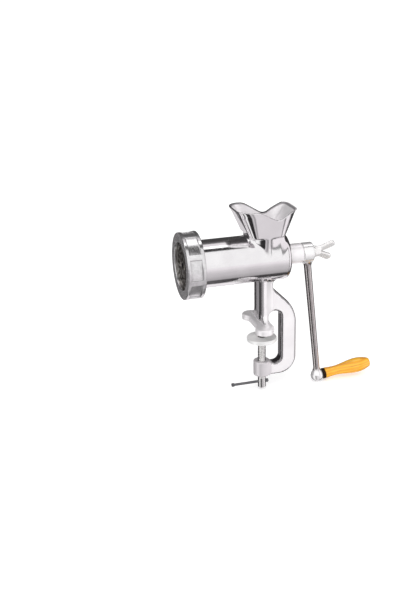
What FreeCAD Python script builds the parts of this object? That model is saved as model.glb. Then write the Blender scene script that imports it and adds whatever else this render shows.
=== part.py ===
import FreeCAD, Part
import math
import os

# Hand-cranked meat grinder with a table clamp. Sizes are in millimetres and degrees.
# +X runs from the outlet to the crank and +Z is up. The origin is the middle of the
# upper jaw's clamping face, on the axis of the clamp screw.

# Gaps between pieces
running_gap = 0.05      # round a shaft or a thread
press_gap = 0.02        # round a piece that is pressed in
face_gap = 0.2          # between flat faces that turn on each other
pivot_gap = 0.1         # round the grip's axle and the pad's rivet
washer_gap = 0.3        # round the stud in its washer
loose_gap = 0.5         # round the worm
knife_room = 1.5        # round the knife and behind it
past = 1.0              # how far a cut runs past a face, or a form into its neighbour
same = 1e-3             # places closer than this are one place

# Barrel
axis_height = 88.0      # barrel axis above the jaw face
barrel_wall = 3.5
barrel_front = 97.0     # from the clamp axis to the front end
barrel_rear = 30.0      # from the clamp axis to the back of the rear wall
rear_wall = 5.0
shoulder_radius = 5.5
collar_wall = 4.0       # threaded collar under the ring nut
collar_length = 15.0
collar_taper = 3.5
collar_chamfer = 1.0
boss_wall = 2.35        # bearing boss at the rear, round the bush
boss_length = 20.3

# Hopper: heights are above the barrel axis, and shifts are towards the crank
hopper_rim_height = 64.0
hopper_rim_fall = 2.2       # degrees by which the rim falls towards the crank
hopper_mouth_x = 80.0
hopper_mouth_y = 56.0
hopper_mouth_shift = 3.0
hopper_lip_height = 57.0    # the walls flare from here to the rim
hopper_lip_x = 70.0
hopper_lip_shift = 2.0
hopper_throat_height = 30.0
hopper_throat_x = 42.0
hopper_throat_shift = 1.5
hopper_throat_y = 52.0
hopper_lip_y = 55.0
hopper_foot_height = 9.0
hopper_foot_x = 39.0
hopper_foot_y = 51.0
hopper_corner = 15.0        # upright corners at the rim and the lip
hopper_throat_corner = 8.0
hopper_foot_corner = 4.0
hopper_wall = 3.0
throat_inside_x = 30.0
throat_inside_y = 40.0
feed_hole_x = 22.0          # opening from the hopper into the bore
feed_hole_y = 34.0
feed_hole_height = 22.0     # the hole's straight part ends here
keel_height = 30.5          # the foot narrows to a keel on each side below this
keel_flat = 6.6             # flat left on each keel
keel_angle = 30.0           # degrees between a keel's face and the wall above it
near_dip_width = 42.0       # dips in the two long walls
near_dip_depth = 12.0
near_dip_shift = 12.0
far_dip_width = 48.0
far_dip_depth = 15.0
far_dip_shift = 11.0
dip_round = 10.0

# Clamp frame
frame_thickness = 15.0
leg_front = 4.5             # leg's front face, towards the outlet
leg_width = 33.0
leg_foot_width = 56.0       # where it meets the jaw
leg_flare = 13.5            # height over which it widens to that
leg_skin = 6.0
leg_back = 16.0             # behind the leg's front face, where its sides meet the web
neck_right = 12.2
neck_drop = 35.5            # middle of the neck's hollow, below the barrel axis
neck_radius = 7.0
spine_inner = 23.0
spine_outer = 43.0
shoulder_top = 31.5         # where the frame's outer shoulder starts
window_top = 19.0
window_left = 7.4
window_bottom = 50.0        # below the jaw face
frame_bottom = 66.0
frame_outer_corner = 22.0
frame_inner_corner = 8.0
edge_radius = 2.2
screw_boss_radius = 10.5
screw_boss_rise = 3.0

# Upper jaw: two feet, one each side of the leg
jaw_thickness = 7.5
foot_radius = 11.0
foot_spread = 26.0          # from the clamp axis to each foot's centre
foot_forward = 5.5

# Ring nut
nut_length = 22.0
nut_wall = 5.0              # outside the collar
nut_lip = 3.5
nut_overlap = 2.2           # how far the lip covers the plate
nut_lobes = 8
nut_pocket_width = 24.0
nut_pocket_depth = 2.6
nut_pocket_turn = 8.0       # degrees of the pocket nearest the top, about the barrel axis
nut_front_rim = 4.0
nut_back_rim = 4.5
nut_chamfer = 1.2

# Grinding plate
plate_radius = 31.0
plate_thickness = 7.0
plate_proud = 0.5           # stands out of the barrel, so the nut presses on it
plate_hole_radius = 2.5
plate_first_ring = 8.6
plate_ring_pitch = 6.3
plate_rings = 3
plate_holes_first_ring = 8
plate_holes_step = 6
key_radius = 1.6
key_length = 6.0

# Knife and its stub
knife_radius = 27.5
knife_thickness = 8.0
knife_blades = 4
knife_blade_width = 11.0
knife_lead = 3.85           # from the blade's middle to its cutting edge
knife_land = 2.4            # height of the cutting face
knife_lip = 1.0
knife_hub_radius = 9.0
stub_side = 9.0
stub_shank_radius = 5.0
stub_shank_length = 16.0
spigot_radius = 4.0

# Worm
worm_radius = 24.5
worm_core_radius = 9.5
worm_pitch = 27.0
flight_root = 7.0
flight_tip = 3.4
worm_nose = 2.0             # core ahead of the flight
worm_tail = 4.0             # core behind the flight
journal_radius = 8.0
bush_wall = 2.0
tang_side = 11.0
tang_short = 0.5            # the tang ends this far inside the hub
thrust_thickness = 2.0
thrust_radius = 15.0

# Crank
hub_radius = 12.35
hub_length = 13.6
hub_round = 1.0
crank_radius = 168.0
crank_lean = 6.0            # degrees, outwards towards the lower end
arm_top_radius = 4.7
arm_bottom_radius = 3.9
ball_radius = 8.2

# Thumb screw and its washer
stud_radius = 4.0
stud_length = 18.0
stud_room = 2.0             # hole beyond the stud's end
thumb_washer_radius = 9.0
thumb_washer_thickness = 1.6
thumb_hub_radius = 7.5
thumb_hub_length = 9.0
thumb_hub_taper = 1.5
wing_length = 26.0
wing_reach = 11.0
wing_tip_radius = 4.6
wing_thickness = 4.4
wing_start = 1.0            # beyond the seat
wing_turn = 30.0            # degrees about the barrel axis, at rest

# Grip
grip_tilt = 6.5             # degrees, upwards from the barrel axis
axle_radius = 3.0
axle_inset = 4.0            # how far the axle goes past the ball's middle
axle_head_radius = 3.9
axle_head_thickness = 2.0
ferrule_start = 7.2         # from the middle of the ball, along the grip
ferrule_length = 3.2
ferrule_radius = 6.9
grip_end = 72.0
grip_base_radius = 7.0
grip_neck_radius = 6.1
grip_neck_at = 25.0
grip_belly_radius = 9.4
grip_belly_at = 52.5
grip_taper_radius = 7.2
grip_taper_at = 67.2
grip_tip_radius = 5.4
end_washer_radius = 4.2
end_washer_thickness = 0.8

# Clamp screw, pad and tommy bar
pad_gap = 15.0              # open gap between the jaw face and the pad at rest
pad_radius = 18.5
pad_thickness = 5.3
pad_rim = 1.2
pad_socket_wall = 3.45
pad_socket_depth = 4.0
screw_radius = 5.0
screw_tip = 2.5
bar_height = 76.0           # below the jaw face
screw_beyond_bar = 8.6
bar_radius = 1.6
bar_length = 47.8
bar_cap_radius = 2.3
bar_cap_length = 3.0
rivet_radius = 2.5
rivet_head_radius = 5.0
rivet_head_thickness = 1.8
rivet_sink = 0.4            # the head lies this far below the pad's face
rivet_depth = 8.0

# Sizes that follow from those of the piece inside
bore_radius = worm_radius + loose_gap
barrel_radius = bore_radius + barrel_wall
chamber_radius = knife_radius + knife_room
seat_radius = plate_radius + running_gap
collar_radius = plate_radius + collar_wall
bush_radius = journal_radius + bush_wall
boss_radius = bush_radius + boss_wall
nut_radius = collar_radius + nut_wall
nut_mouth_radius = plate_radius - nut_overlap
pad_socket_radius = screw_radius + pad_socket_wall

# Places worked out from the sizes
plate_front = -barrel_front - plate_proud
plate_back = plate_front + plate_thickness
nut_front = plate_front - nut_lip
nut_back = nut_front + nut_length
knife_front = plate_back + face_gap
knife_back = knife_front + knife_thickness
chamber_end = knife_back + knife_room
worm_front = knife_back
worm_back = barrel_rear - rear_wall - thrust_thickness - face_gap
boss_back = barrel_rear + boss_length
hub_front = boss_back + face_gap
hub_back = hub_front + hub_length
shaft_end = hub_back - tang_short
thumb_seat = hub_back + thumb_washer_thickness
rim_z = axis_height + hopper_rim_height
lip_z = axis_height + hopper_lip_height
throat_z = axis_height + hopper_throat_height
foot_z = axis_height + hopper_foot_height
keel_z = axis_height + keel_height
boss_top = -window_bottom + screw_boss_rise
neck_height = axis_height - neck_drop
screw_end = bar_height + screw_beyond_bar
pad_top = -pad_gap
pad_bottom = pad_top - pad_thickness
socket_bottom = pad_bottom - pad_socket_depth
screw_top = pad_bottom - face_gap
rivet_head_low = pad_top - rivet_head_thickness - rivet_sink
lean = math.radians(crank_lean)
tilt = math.radians(grip_tilt)
hub_middle = hub_front + hub_length / 2
x_axis = FreeCAD.Vector(1, 0, 0)
y_axis = FreeCAD.Vector(0, 1, 0)
z_axis = FreeCAD.Vector(0, 0, 1)
origin = FreeCAD.Vector(0, 0, 0)
barrel_point = FreeCAD.Vector(0, 0, axis_height)
pin_point = FreeCAD.Vector(
    hub_middle + crank_radius * math.sin(lean), 0, axis_height - crank_radius * math.cos(lean)
)


def rod(radius, start, end, axis_z=axis_height):
    """Round bar along X."""
    return Part.makeCylinder(radius, end - start, FreeCAD.Vector(start, 0, axis_z), x_axis)


def post(radius, low, high, x=0.0, y=0.0):
    """Round bar along Z."""
    return Part.makeCylinder(radius, high - low, FreeCAD.Vector(x, y, low), z_axis)


def square_bar(side, start, end):
    """Square bar along X on the barrel axis."""
    corner = FreeCAD.Vector(start, -side / 2, axis_height - side / 2)
    return Part.makeBox(end - start, side, side, corner)


def bored(radius, start, end, axis_z=axis_height):
    """Round hole along X, as a solid that runs past both ends."""
    return rod(radius, start - past, end + past, axis_z)


def drilled(radius, low, high, x=0.0, y=0.0):
    """Round hole along Z, as a solid that runs past both ends."""
    return post(radius, low - past, high + past, x, y)


def turned(profile):
    """Solid turned about the barrel axis from (x, radius) points."""
    points = [FreeCAD.Vector(x, 0, axis_height + r) for x, r in profile]
    face = Part.Face(Part.makePolygon(points + points[:1]))
    return face.revolve(barrel_point, x_axis, 360)


def plate_of(points, y, thickness):
    """Flat plate in the XZ plane from (x, z) points."""
    corners = [FreeCAD.Vector(x, y, z) for x, z in points]
    face = Part.Face(Part.makePolygon(corners + corners[:1]))
    return face.extrude(FreeCAD.Vector(0, thickness, 0))


def rounded_rectangle(size_x, size_y, corner, z, shift=0.0):
    """Closed wire of four straight sides and four arcs."""
    arcs = []
    for quarter in range(4):
        centre_x = (size_x / 2 - corner) * (1 if quarter in (0, 3) else -1) + shift
        centre_y = (size_y / 2 - corner) * (1 if quarter in (0, 1) else -1)
        arc = []
        for step in range(3):
            angle = math.radians(90 * quarter + 45 * step)
            x = centre_x + corner * math.cos(angle)
            arc.append(FreeCAD.Vector(x, centre_y + corner * math.sin(angle), z))
        arcs.append(arc)
    edges = []
    for arc, following in zip(arcs, arcs[1:] + arcs[:1]):
        edges.append(Part.Arc(*arc).toShape())
        edges.append(Part.LineSegment(arc[2], following[0]).toShape())
    return Part.Wire(edges)


def is_round(edge):
    return isinstance(edge.Curve, Part.Circle)


def rounded_edges(solid, radius, keep):
    """Rounds the edges that keep picks, where the wall allows it."""
    edges = [edge for edge in solid.Edges if keep(edge)]
    return solid.makeFillet(radius, edges) if edges else solid


def save(name, solid):
    solid.exportStep(os.path.join("parts", name + ".step"))


# Body casting


def barrel_outside():
    front = -barrel_front
    back = barrel_rear
    shell = turned(
        [
            (front, 0),
            (front, collar_radius - collar_chamfer),
            (front + collar_chamfer, collar_radius),
            (front + collar_length, collar_radius),
            (front + collar_length + collar_taper, barrel_radius),
            (back, barrel_radius),
            (back, 0),
        ]
    )
    rear_rim = [edge for edge in shell.Edges if on_ring(edge, back, barrel_radius)]
    shell = shell.makeFillet(shoulder_radius, rear_rim)
    return shell.fuse(rod(boss_radius, back - past, boss_back))


def on_ring(edge, x, radius):
    """True for a whole circle about the barrel axis at this place."""
    curve = edge.Curve
    if not isinstance(curve, Part.Circle):
        return False
    return abs(curve.Center.x - x) < same and abs(curve.Radius - radius) < same


def barrel_inside():
    inner_wall = barrel_rear - rear_wall
    key_end = -barrel_front + key_length
    return [
        rod(seat_radius, -barrel_front - past, plate_back),
        rod(chamber_radius, plate_back - past, chamber_end),
        rod(bore_radius, chamber_end - past, inner_wall),
        bored(bush_radius + press_gap, inner_wall, boss_back),
        rod(key_radius + press_gap, -barrel_front - past, key_end, axis_height - plate_radius),
    ]


def hopper_outside():
    throat = (hopper_throat_corner, throat_z, hopper_throat_shift)
    wires = [
        rounded_rectangle(hopper_foot_x, hopper_foot_y, hopper_foot_corner, foot_z, hopper_throat_shift),
        rounded_rectangle(hopper_throat_x, hopper_throat_y, *throat),
        rounded_rectangle(hopper_lip_x, hopper_lip_y, hopper_corner, lip_z, hopper_lip_shift),
        rounded_rectangle(hopper_mouth_x, hopper_mouth_y, hopper_corner, rim_z, hopper_mouth_shift),
    ]
    return Part.makeLoft(wires, True, True).cut(keel_cuts() + [above_rim()])


def keel_cuts():
    """Four upright cuts that bring the foot to a keel on each side of the barrel."""
    angle = math.radians(keel_angle)
    along = hopper_foot_x * math.cos(angle)
    inward = hopper_foot_x * math.sin(angle)
    low = foot_z - past
    cuts = []
    for side_x, side_y in ((-1, -1), (-1, 1), (1, -1), (1, 1)):
        ridge_x = hopper_throat_shift + side_x * keel_flat / 2
        wall = side_y * hopper_throat_y / 2
        ridge = FreeCAD.Vector(ridge_x, wall, low)
        far = FreeCAD.Vector(ridge_x + side_x * along, wall - side_y * inward, low)
        out = FreeCAD.Vector(side_x * inward, side_y * along, 0)
        face = Part.Face(Part.makePolygon([ridge, far, far + out, ridge + out, ridge]))
        cuts.append(face.extrude(FreeCAD.Vector(0, 0, keel_z - low)))
    return cuts


def above_rim():
    """All that lies above the sloping rim, which is highest at the outlet end."""
    size = 2 * hopper_mouth_x
    high_end = hopper_mouth_shift - hopper_mouth_x / 2
    block = Part.makeBox(size, size, size, FreeCAD.Vector(0, -size / 2, 0))
    block.rotate(origin, y_axis, hopper_rim_fall)
    block.translate(FreeCAD.Vector(high_end - past, 0, rim_z + past * math.tan(math.radians(hopper_rim_fall))))
    return block


def hopper_inside():
    """Funnel from the mouth down to the feed hole in the barrel's top."""
    walls = 2 * hopper_wall
    mouth_x = hopper_mouth_x - walls
    mouth_y = hopper_mouth_y - walls
    corner = hopper_corner - hopper_wall
    throat_corner = hopper_throat_corner - hopper_wall
    throat = (throat_corner, throat_z, hopper_throat_shift)
    hole_top = axis_height + feed_hole_height
    wires = [
        rounded_rectangle(feed_hole_x, feed_hole_y, throat_corner, axis_height),
        rounded_rectangle(feed_hole_x, feed_hole_y, throat_corner, hole_top),
        rounded_rectangle(throat_inside_x, throat_inside_y, *throat),
        rounded_rectangle(hopper_lip_x - walls, hopper_lip_y - walls, corner, lip_z, hopper_lip_shift),
        rounded_rectangle(mouth_x, mouth_y, corner, rim_z, hopper_mouth_shift),
        rounded_rectangle(mouth_x, mouth_y, corner, rim_z + past, hopper_mouth_shift),
    ]
    return Part.makeLoft(wires, True, True)


def hopper_dips():
    """The cuts in the near and far walls: a wide V with a round bottom."""
    near = (-1, near_dip_width, near_dip_depth, near_dip_shift)
    far = (1, far_dip_width, far_dip_depth, far_dip_shift)
    cuts = []
    for side, width, depth, shift in (near, far):
        slope = math.atan2(depth, width / 2)
        lowest = rim_z - depth - dip_round * (1 / math.cos(slope) - 1)
        rise = (rim_z + past - lowest) / math.tan(slope)
        outline = [(shift, lowest), (shift + rise, rim_z + past), (shift - rise, rim_z + past)]
        cut = plate_of(outline, min(0, side * hopper_mouth_y), hopper_mouth_y)
        bottom = [edge for edge in cut.Edges if abs(edge.BoundBox.ZMax - lowest) < same]
        cuts.append(cut.makeFillet(dip_round, bottom))
    return cuts


def frame_outline():
    """Outline of the C-shaped frame in the XZ plane, with arcs at its bends."""
    y = -frame_thickness / 2
    top = axis_height - bore_radius - past

    def at(x, z):
        return FreeCAD.Vector(x, y, z)

    def on_arc(centre_x, centre_z, radius, degrees):
        angle = math.radians(degrees)
        return at(centre_x + radius * math.cos(angle), centre_z + radius * math.sin(angle))

    neck_x = neck_right + neck_radius
    neck_high = on_arc(neck_x, neck_height, neck_radius, 120)
    neck_mid = on_arc(neck_x, neck_height, neck_radius, 180)
    neck_low = on_arc(neck_x, neck_height, neck_radius, 225)
    start = at(neck_low.x + neck_low.z - shoulder_top, shoulder_top)
    bend = (spine_outer - start.x) / (1 - math.cos(math.radians(45)))
    bend_x = spine_outer - bend
    bend_z = shoulder_top - bend * math.sin(math.radians(45))
    shoulder_mid = on_arc(bend_x, bend_z, bend, 22.5)
    shoulder_end = at(spine_outer, bend_z)
    big = frame_outer_corner
    small = frame_inner_corner
    low_end = at(spine_outer, -frame_bottom + big)
    low_mid = on_arc(spine_outer - big, -frame_bottom + big, big, -45)
    low_start = at(spine_outer - big, -frame_bottom)
    in_start = at(spine_inner - small, -window_bottom)
    in_mid = on_arc(spine_inner - small, -window_bottom + small, small, -45)
    in_end = at(spine_inner, -window_bottom + small)
    arch = (spine_inner - window_left) / 2
    arch_z = window_top - arch
    lines = [
        Part.LineSegment(at(-leg_front, top), at(neck_high.x, top)),
        Part.LineSegment(at(neck_high.x, top), neck_high),
        Part.Arc(neck_high, neck_mid, neck_low),
        Part.LineSegment(neck_low, start),
        Part.Arc(start, shoulder_mid, shoulder_end),
        Part.LineSegment(shoulder_end, low_end),
        Part.Arc(low_end, low_mid, low_start),
        Part.LineSegment(low_start, at(0, -frame_bottom)),
        Part.LineSegment(at(0, -frame_bottom), at(0, -window_bottom)),
        Part.LineSegment(at(0, -window_bottom), in_start),
        Part.Arc(in_start, in_mid, in_end),
        Part.LineSegment(in_end, at(spine_inner, arch_z)),
        Part.Arc(at(spine_inner, arch_z), at(window_left + arch, window_top), at(window_left, arch_z)),
        Part.LineSegment(at(window_left, arch_z), at(window_left, 0)),
        Part.LineSegment(at(window_left, 0), at(-leg_front, 0)),
        Part.LineSegment(at(-leg_front, 0), at(-leg_front, top)),
    ]
    return Part.Wire([line.toShape() for line in lines])


def clamp_frame():
    web = Part.Face(frame_outline()).extrude(FreeCAD.Vector(0, frame_thickness, 0))
    web = rounded_edges(web, edge_radius, on_outer_profile)
    boss = post(screw_boss_radius, -frame_bottom, boss_top)
    return web.multiFuse([leg_skin_plate(), leg_sides(), jaw_plate(), boss])


def on_outer_profile(edge):
    """True for the frame's outer and inner curved edges away from the leg and the boss."""
    box = edge.BoundBox
    flat = box.YLength < same
    return flat and box.XMin > window_left + same and box.ZMax < axis_height - barrel_radius


def leg_skin_plate():
    """Wide front of the leg, which flares to the barrel and spreads to the two feet."""
    half = leg_width / 2
    foot_half = leg_foot_width / 2
    top = axis_height - barrel_radius / 2
    low = jaw_thickness - past
    knee = jaw_thickness + leg_flare - past
    outline = [
        (-half, top),
        (half, top),
        (half, knee),
        (foot_half, low),
        (-foot_half, low),
        (-half, knee),
    ]
    points = [FreeCAD.Vector(-leg_front, y, z) for y, z in outline]
    face = Part.Face(Part.makePolygon(points + points[:1]))
    return face.extrude(FreeCAD.Vector(leg_skin, 0, 0))


def leg_sides():
    """Slanting sides that bring the wide front of the leg in to the web."""
    half = leg_width / 2
    web_half = frame_thickness / 2
    low = jaw_thickness + leg_flare - past
    front = leg_skin - leg_front - past
    back = leg_back - leg_front
    outline = [(front, -half), (back, -web_half), (back, web_half), (front, half)]
    points = [FreeCAD.Vector(x, y, low) for x, y in outline]
    face = Part.Face(Part.makePolygon(points + points[:1]))
    return face.extrude(FreeCAD.Vector(0, 0, axis_height - barrel_radius / 2 - low))


def jaw_plate():
    bridge = Part.makeBox(
        foot_radius + window_left,
        2 * foot_spread,
        jaw_thickness,
        FreeCAD.Vector(-foot_radius, -foot_spread, 0),
    )
    feet = [post(foot_radius, 0, jaw_thickness, -foot_forward, side * foot_spread) for side in (-1, 1)]
    return bridge.multiFuse(feet)


def body_casting():
    solid = barrel_outside().multiFuse([hopper_outside(), clamp_frame()])
    screw_hole = drilled(screw_radius + running_gap, -frame_bottom, boss_top)
    solid = solid.cut(barrel_inside() + [hopper_inside(), screw_hole] + hopper_dips())
    return solid.removeSplitter()


# Outlet end


def ring_nut():
    solid = turned(
        [
            (nut_front, nut_mouth_radius + nut_chamfer),
            (nut_front, nut_radius - nut_chamfer),
            (nut_front + nut_chamfer, nut_radius),
            (nut_back - nut_chamfer, nut_radius),
            (nut_back, nut_radius - nut_chamfer),
            (nut_back, collar_radius + running_gap),
            (plate_front, collar_radius + running_gap),
            (plate_front, nut_mouth_radius),
            (nut_front + nut_chamfer, nut_mouth_radius),
        ]
    )
    pockets = []
    floor_z = axis_height + nut_radius - nut_pocket_depth
    pocket_length = nut_length - nut_front_rim - nut_back_rim
    corner = FreeCAD.Vector(nut_front + nut_front_rim, -nut_pocket_width / 2, floor_z)
    for lobe in range(nut_lobes):
        pocket = Part.makeBox(pocket_length, nut_pocket_width, nut_pocket_depth + past, corner)
        pocket.rotate(barrel_point, x_axis, 360.0 / nut_lobes * lobe - nut_pocket_turn)
        pockets.append(pocket)
    return solid.cut(pockets)


def grinding_plate():
    solid = rod(plate_radius, plate_front, plate_back)
    cuts = [
        bored(spigot_radius + running_gap, plate_front, plate_back),
        bored(key_radius + face_gap, plate_front, plate_back, axis_height - plate_radius),
    ]
    for ring in range(plate_rings):
        radius = plate_first_ring + ring * plate_ring_pitch
        count = plate_holes_first_ring + ring * plate_holes_step
        for place in range(count):
            hole = bored(plate_hole_radius, plate_front, plate_back, axis_height + radius)
            hole.rotate(barrel_point, x_axis, 360.0 / count * (place + 0.5 * ring))
            cuts.append(hole)
    return solid.cut(cuts)


def plate_key():
    return rod(key_radius, -barrel_front, -barrel_front + key_length, axis_height - plate_radius)


def cutter_knife():
    """Blades with a flat face on the plate and a hollow back, leading towards +Y at the top."""
    tail = knife_lead - knife_blade_width
    shoulder = knife_back - knife_lip
    outline = [
        FreeCAD.Vector(knife_front, knife_lead, axis_height),
        FreeCAD.Vector(knife_front, -knife_lead, axis_height),
        FreeCAD.Vector(shoulder, tail, axis_height),
        FreeCAD.Vector(shoulder, -knife_lead, axis_height),
        FreeCAD.Vector(knife_front + knife_land, knife_lead, axis_height),
    ]
    section = Part.Face(Part.makePolygon(outline + outline[:1]))
    blades = []
    for blade in range(knife_blades):
        arm = section.extrude(FreeCAD.Vector(0, 0, knife_radius))
        arm.rotate(barrel_point, x_axis, 360.0 / knife_blades * blade)
        blades.append(arm)
    solid = rod(knife_hub_radius, knife_front, knife_back).multiFuse(blades)
    solid = solid.common(rod(knife_radius, knife_front, knife_back))
    return solid.cut(square_bar(stub_side + 2 * press_gap, knife_front - past, knife_back + past))


def knife_stub():
    square = square_bar(stub_side, knife_front, worm_front)
    spigot = rod(spigot_radius, plate_front, knife_front)
    shank = rod(stub_shank_radius, worm_front, worm_front + stub_shank_length)
    return spigot.multiFuse([square, shank]).removeSplitter()


# Worm and its bearings


def feed_screw():
    start = worm_front + worm_nose
    end = worm_back - worm_tail
    helix = Part.makeLongHelix(worm_pitch, end - start - flight_root, worm_radius, 0, True)
    inner = worm_core_radius - past
    section = [
        FreeCAD.Vector(inner, 0, -flight_root / 2),
        FreeCAD.Vector(worm_radius, 0, -flight_tip / 2),
        FreeCAD.Vector(worm_radius, 0, flight_tip / 2),
        FreeCAD.Vector(inner, 0, flight_root / 2),
    ]
    profile = Part.makePolygon(section + section[:1])
    flight = Part.Wire(helix.Edges).makePipeShell([profile], True, True)
    flight.rotate(origin, y_axis, 90)
    flight.translate(FreeCAD.Vector(start + flight_root / 2, 0, axis_height))
    core = rod(worm_core_radius, worm_front, worm_back)
    journal = rod(journal_radius, worm_back, hub_front)
    tang = square_bar(tang_side, hub_front, shaft_end)
    solid = core.multiFuse([flight, journal, tang])
    stub_end = worm_front + stub_shank_length
    stub_hole = rod(stub_shank_radius + press_gap, worm_front - past, stub_end)
    stud_end = shaft_end - stud_length - stud_room
    stud_hole = rod(stud_radius + running_gap, stud_end, shaft_end + past)
    return solid.cut([stub_hole, stud_hole])


def rear_bush():
    front = barrel_rear - rear_wall
    return rod(bush_radius, front, boss_back).cut(bored(journal_radius + running_gap, front, boss_back))


def thrust_washer():
    back = barrel_rear - rear_wall
    front = back - thrust_thickness
    return rod(thrust_radius, front, back).cut(bored(journal_radius + face_gap, front, back))


# Crank


def crank_arm():
    hub = rod(hub_radius, hub_front, hub_back)
    hub = rounded_edges(hub, hub_round, is_round)
    centre = FreeCAD.Vector(hub_middle, 0, axis_height)
    down = pin_point - centre
    bar = Part.makeCone(arm_top_radius, arm_bottom_radius, down.Length, centre, down)
    ball = Part.makeSphere(ball_radius, pin_point)
    solid = hub.multiFuse([bar, ball])
    outer = pin_point + along_grip(ferrule_start - face_gap)
    flat = Part.makeCylinder(ball_radius + past, ball_radius, outer, along_grip(1))
    inner = pin_point - along_grip(axle_inset)
    hole = Part.makeCylinder(axle_radius + press_gap, axle_inset + ball_radius, inner, along_grip(1))
    square = square_bar(tang_side + 2 * running_gap, hub_front - past, hub_back + past)
    return solid.cut([flat, hole, square])


def along_grip(distance):
    return FreeCAD.Vector(distance * math.cos(tilt), 0, distance * math.sin(tilt))


def crank_washer():
    washer = rod(thumb_washer_radius, hub_back, thumb_seat)
    return washer.cut(bored(stud_radius + washer_gap, hub_back, thumb_seat))


def thumb_screw():
    stud = rod(stud_radius, shaft_end - stud_length, thumb_seat)
    top_radius = thumb_hub_radius - thumb_hub_taper
    place = FreeCAD.Vector(thumb_seat, 0, axis_height)
    hub = Part.makeCone(thumb_hub_radius, top_radius, thumb_hub_length, place, x_axis)
    wings = []
    for side in (0, 180):
        wing = thumb_wing()
        wing.rotate(barrel_point, x_axis, wing_turn + side)
        wings.append(wing)
    return hub.multiFuse([stud] + wings).removeSplitter()


def thumb_wing():
    """One wing: a flat leaf that rises from the hub to a round tip."""
    y = -wing_thickness / 2
    tip_x = thumb_seat + wing_length - wing_tip_radius
    tip_z = axis_height + wing_reach
    slope = math.atan2(wing_reach, wing_length - wing_tip_radius)
    side_x = wing_tip_radius * math.sin(slope)
    side_z = wing_tip_radius * math.cos(slope)
    low = thumb_seat + wing_start
    leaf = plate_of(
        [
            (low, axis_height),
            (low, axis_height + thumb_hub_radius - thumb_hub_taper),
            (tip_x - side_x, tip_z + side_z),
            (tip_x + side_x, tip_z - side_z),
            (thumb_seat + thumb_hub_length - wing_start, axis_height),
        ],
        y,
        wing_thickness,
    )
    disc = Part.makeCylinder(wing_tip_radius, wing_thickness, FreeCAD.Vector(tip_x, y, tip_z), y_axis)
    return leaf.fuse(disc)


# Grip


def on_grip(solid):
    """Moves a piece made along X at the origin to the grip's axis."""
    solid.rotate(origin, y_axis, -grip_tilt)
    solid.translate(pin_point)
    return solid


def grip_rod(radius, start, end):
    return Part.makeCylinder(radius, end - start, FreeCAD.Vector(start, 0, 0), x_axis)


def grip_hole(radius, start, end):
    return grip_rod(radius, start - past, end + past)


def wooden_grip():
    start = ferrule_start + ferrule_length
    profile = [
        (start, grip_base_radius),
        (grip_neck_at, grip_neck_radius),
        (grip_belly_at, grip_belly_radius),
        (grip_taper_at, grip_taper_radius),
        (grip_end, grip_tip_radius),
    ]
    curve = Part.BSplineCurve()
    curve.interpolate([FreeCAD.Vector(x, 0, radius) for x, radius in profile])
    corners = [profile[-1], (grip_end, 0), (start, 0), profile[0]]
    sides = Part.makePolygon([FreeCAD.Vector(x, 0, radius) for x, radius in corners])
    wire = Part.Wire([curve.toShape()] + sides.Edges)
    solid = Part.Face(wire).revolve(origin, x_axis, 360)
    bore = grip_hole(axle_radius + pivot_gap, start, grip_end)
    recess = grip_rod(end_washer_radius + face_gap, end_washer_start() - face_gap, grip_end + past)
    return on_grip(solid.cut([bore, recess]))


def end_washer_start():
    return grip_end - axle_head_thickness - end_washer_thickness


def grip_ferrule():
    end = ferrule_start + ferrule_length - face_gap
    ring = grip_rod(ferrule_radius, ferrule_start, end)
    return on_grip(ring.cut(grip_hole(axle_radius + pivot_gap, ferrule_start, end)))


def grip_axle():
    head_start = grip_end - axle_head_thickness
    pin = grip_rod(axle_radius, -axle_inset, head_start)
    head = grip_rod(axle_head_radius, head_start, grip_end)
    return on_grip(pin.fuse(head))


def grip_end_washer():
    start = end_washer_start()
    end = start + end_washer_thickness
    washer = grip_rod(end_washer_radius, start, end)
    return on_grip(washer.cut(grip_hole(axle_radius + pivot_gap, start, end)))


# Clamp screw, pad and bar


def swivel_pad():
    disc = post(pad_radius, pad_bottom, pad_top)
    disc = rounded_edges(disc, pad_rim, is_round)
    solid = disc.fuse(post(pad_socket_radius, socket_bottom, pad_bottom))
    recess = post(rivet_head_radius + washer_gap, rivet_head_low - face_gap, pad_top + past)
    hole = drilled(rivet_radius + pivot_gap, pad_bottom, pad_top)
    socket = post(screw_radius + running_gap, socket_bottom - past, pad_bottom)
    return solid.cut([recess, hole, socket])


def pad_rivet():
    head = post(rivet_head_radius, rivet_head_low, rivet_head_low + rivet_head_thickness)
    return head.fuse(post(rivet_radius, screw_top - rivet_depth, rivet_head_low))


def clamp_screw():
    shaft = post(screw_radius, -screw_end + screw_tip, screw_top)
    tip_radius = screw_radius - screw_tip
    tip = Part.makeCone(tip_radius, screw_radius, screw_tip, FreeCAD.Vector(0, 0, -screw_end), z_axis)
    rivet_hole = post(rivet_radius + press_gap, screw_top - rivet_depth, screw_top + past)
    bar_hole = bored(bar_radius + running_gap, -screw_radius, screw_radius, -bar_height)
    return shaft.fuse(tip).cut([rivet_hole, bar_hole]).removeSplitter()


def bar_span():
    """The bar's two ends at rest, slid towards the outlet."""
    right = screw_radius + face_gap + bar_cap_length
    return right - bar_length, right


def tommy_bar():
    left, right = bar_span()
    return rod(bar_radius, left, right, -bar_height)


def bar_caps():
    left, right = bar_span()
    caps = []
    for start in (left, right - bar_cap_length):
        cap = rod(bar_cap_radius, start, start + bar_cap_length, -bar_height)
        caps.append(cap.cut(bored(bar_radius + press_gap, start, start + bar_cap_length, -bar_height)))
    return Part.makeCompound(caps)


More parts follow.
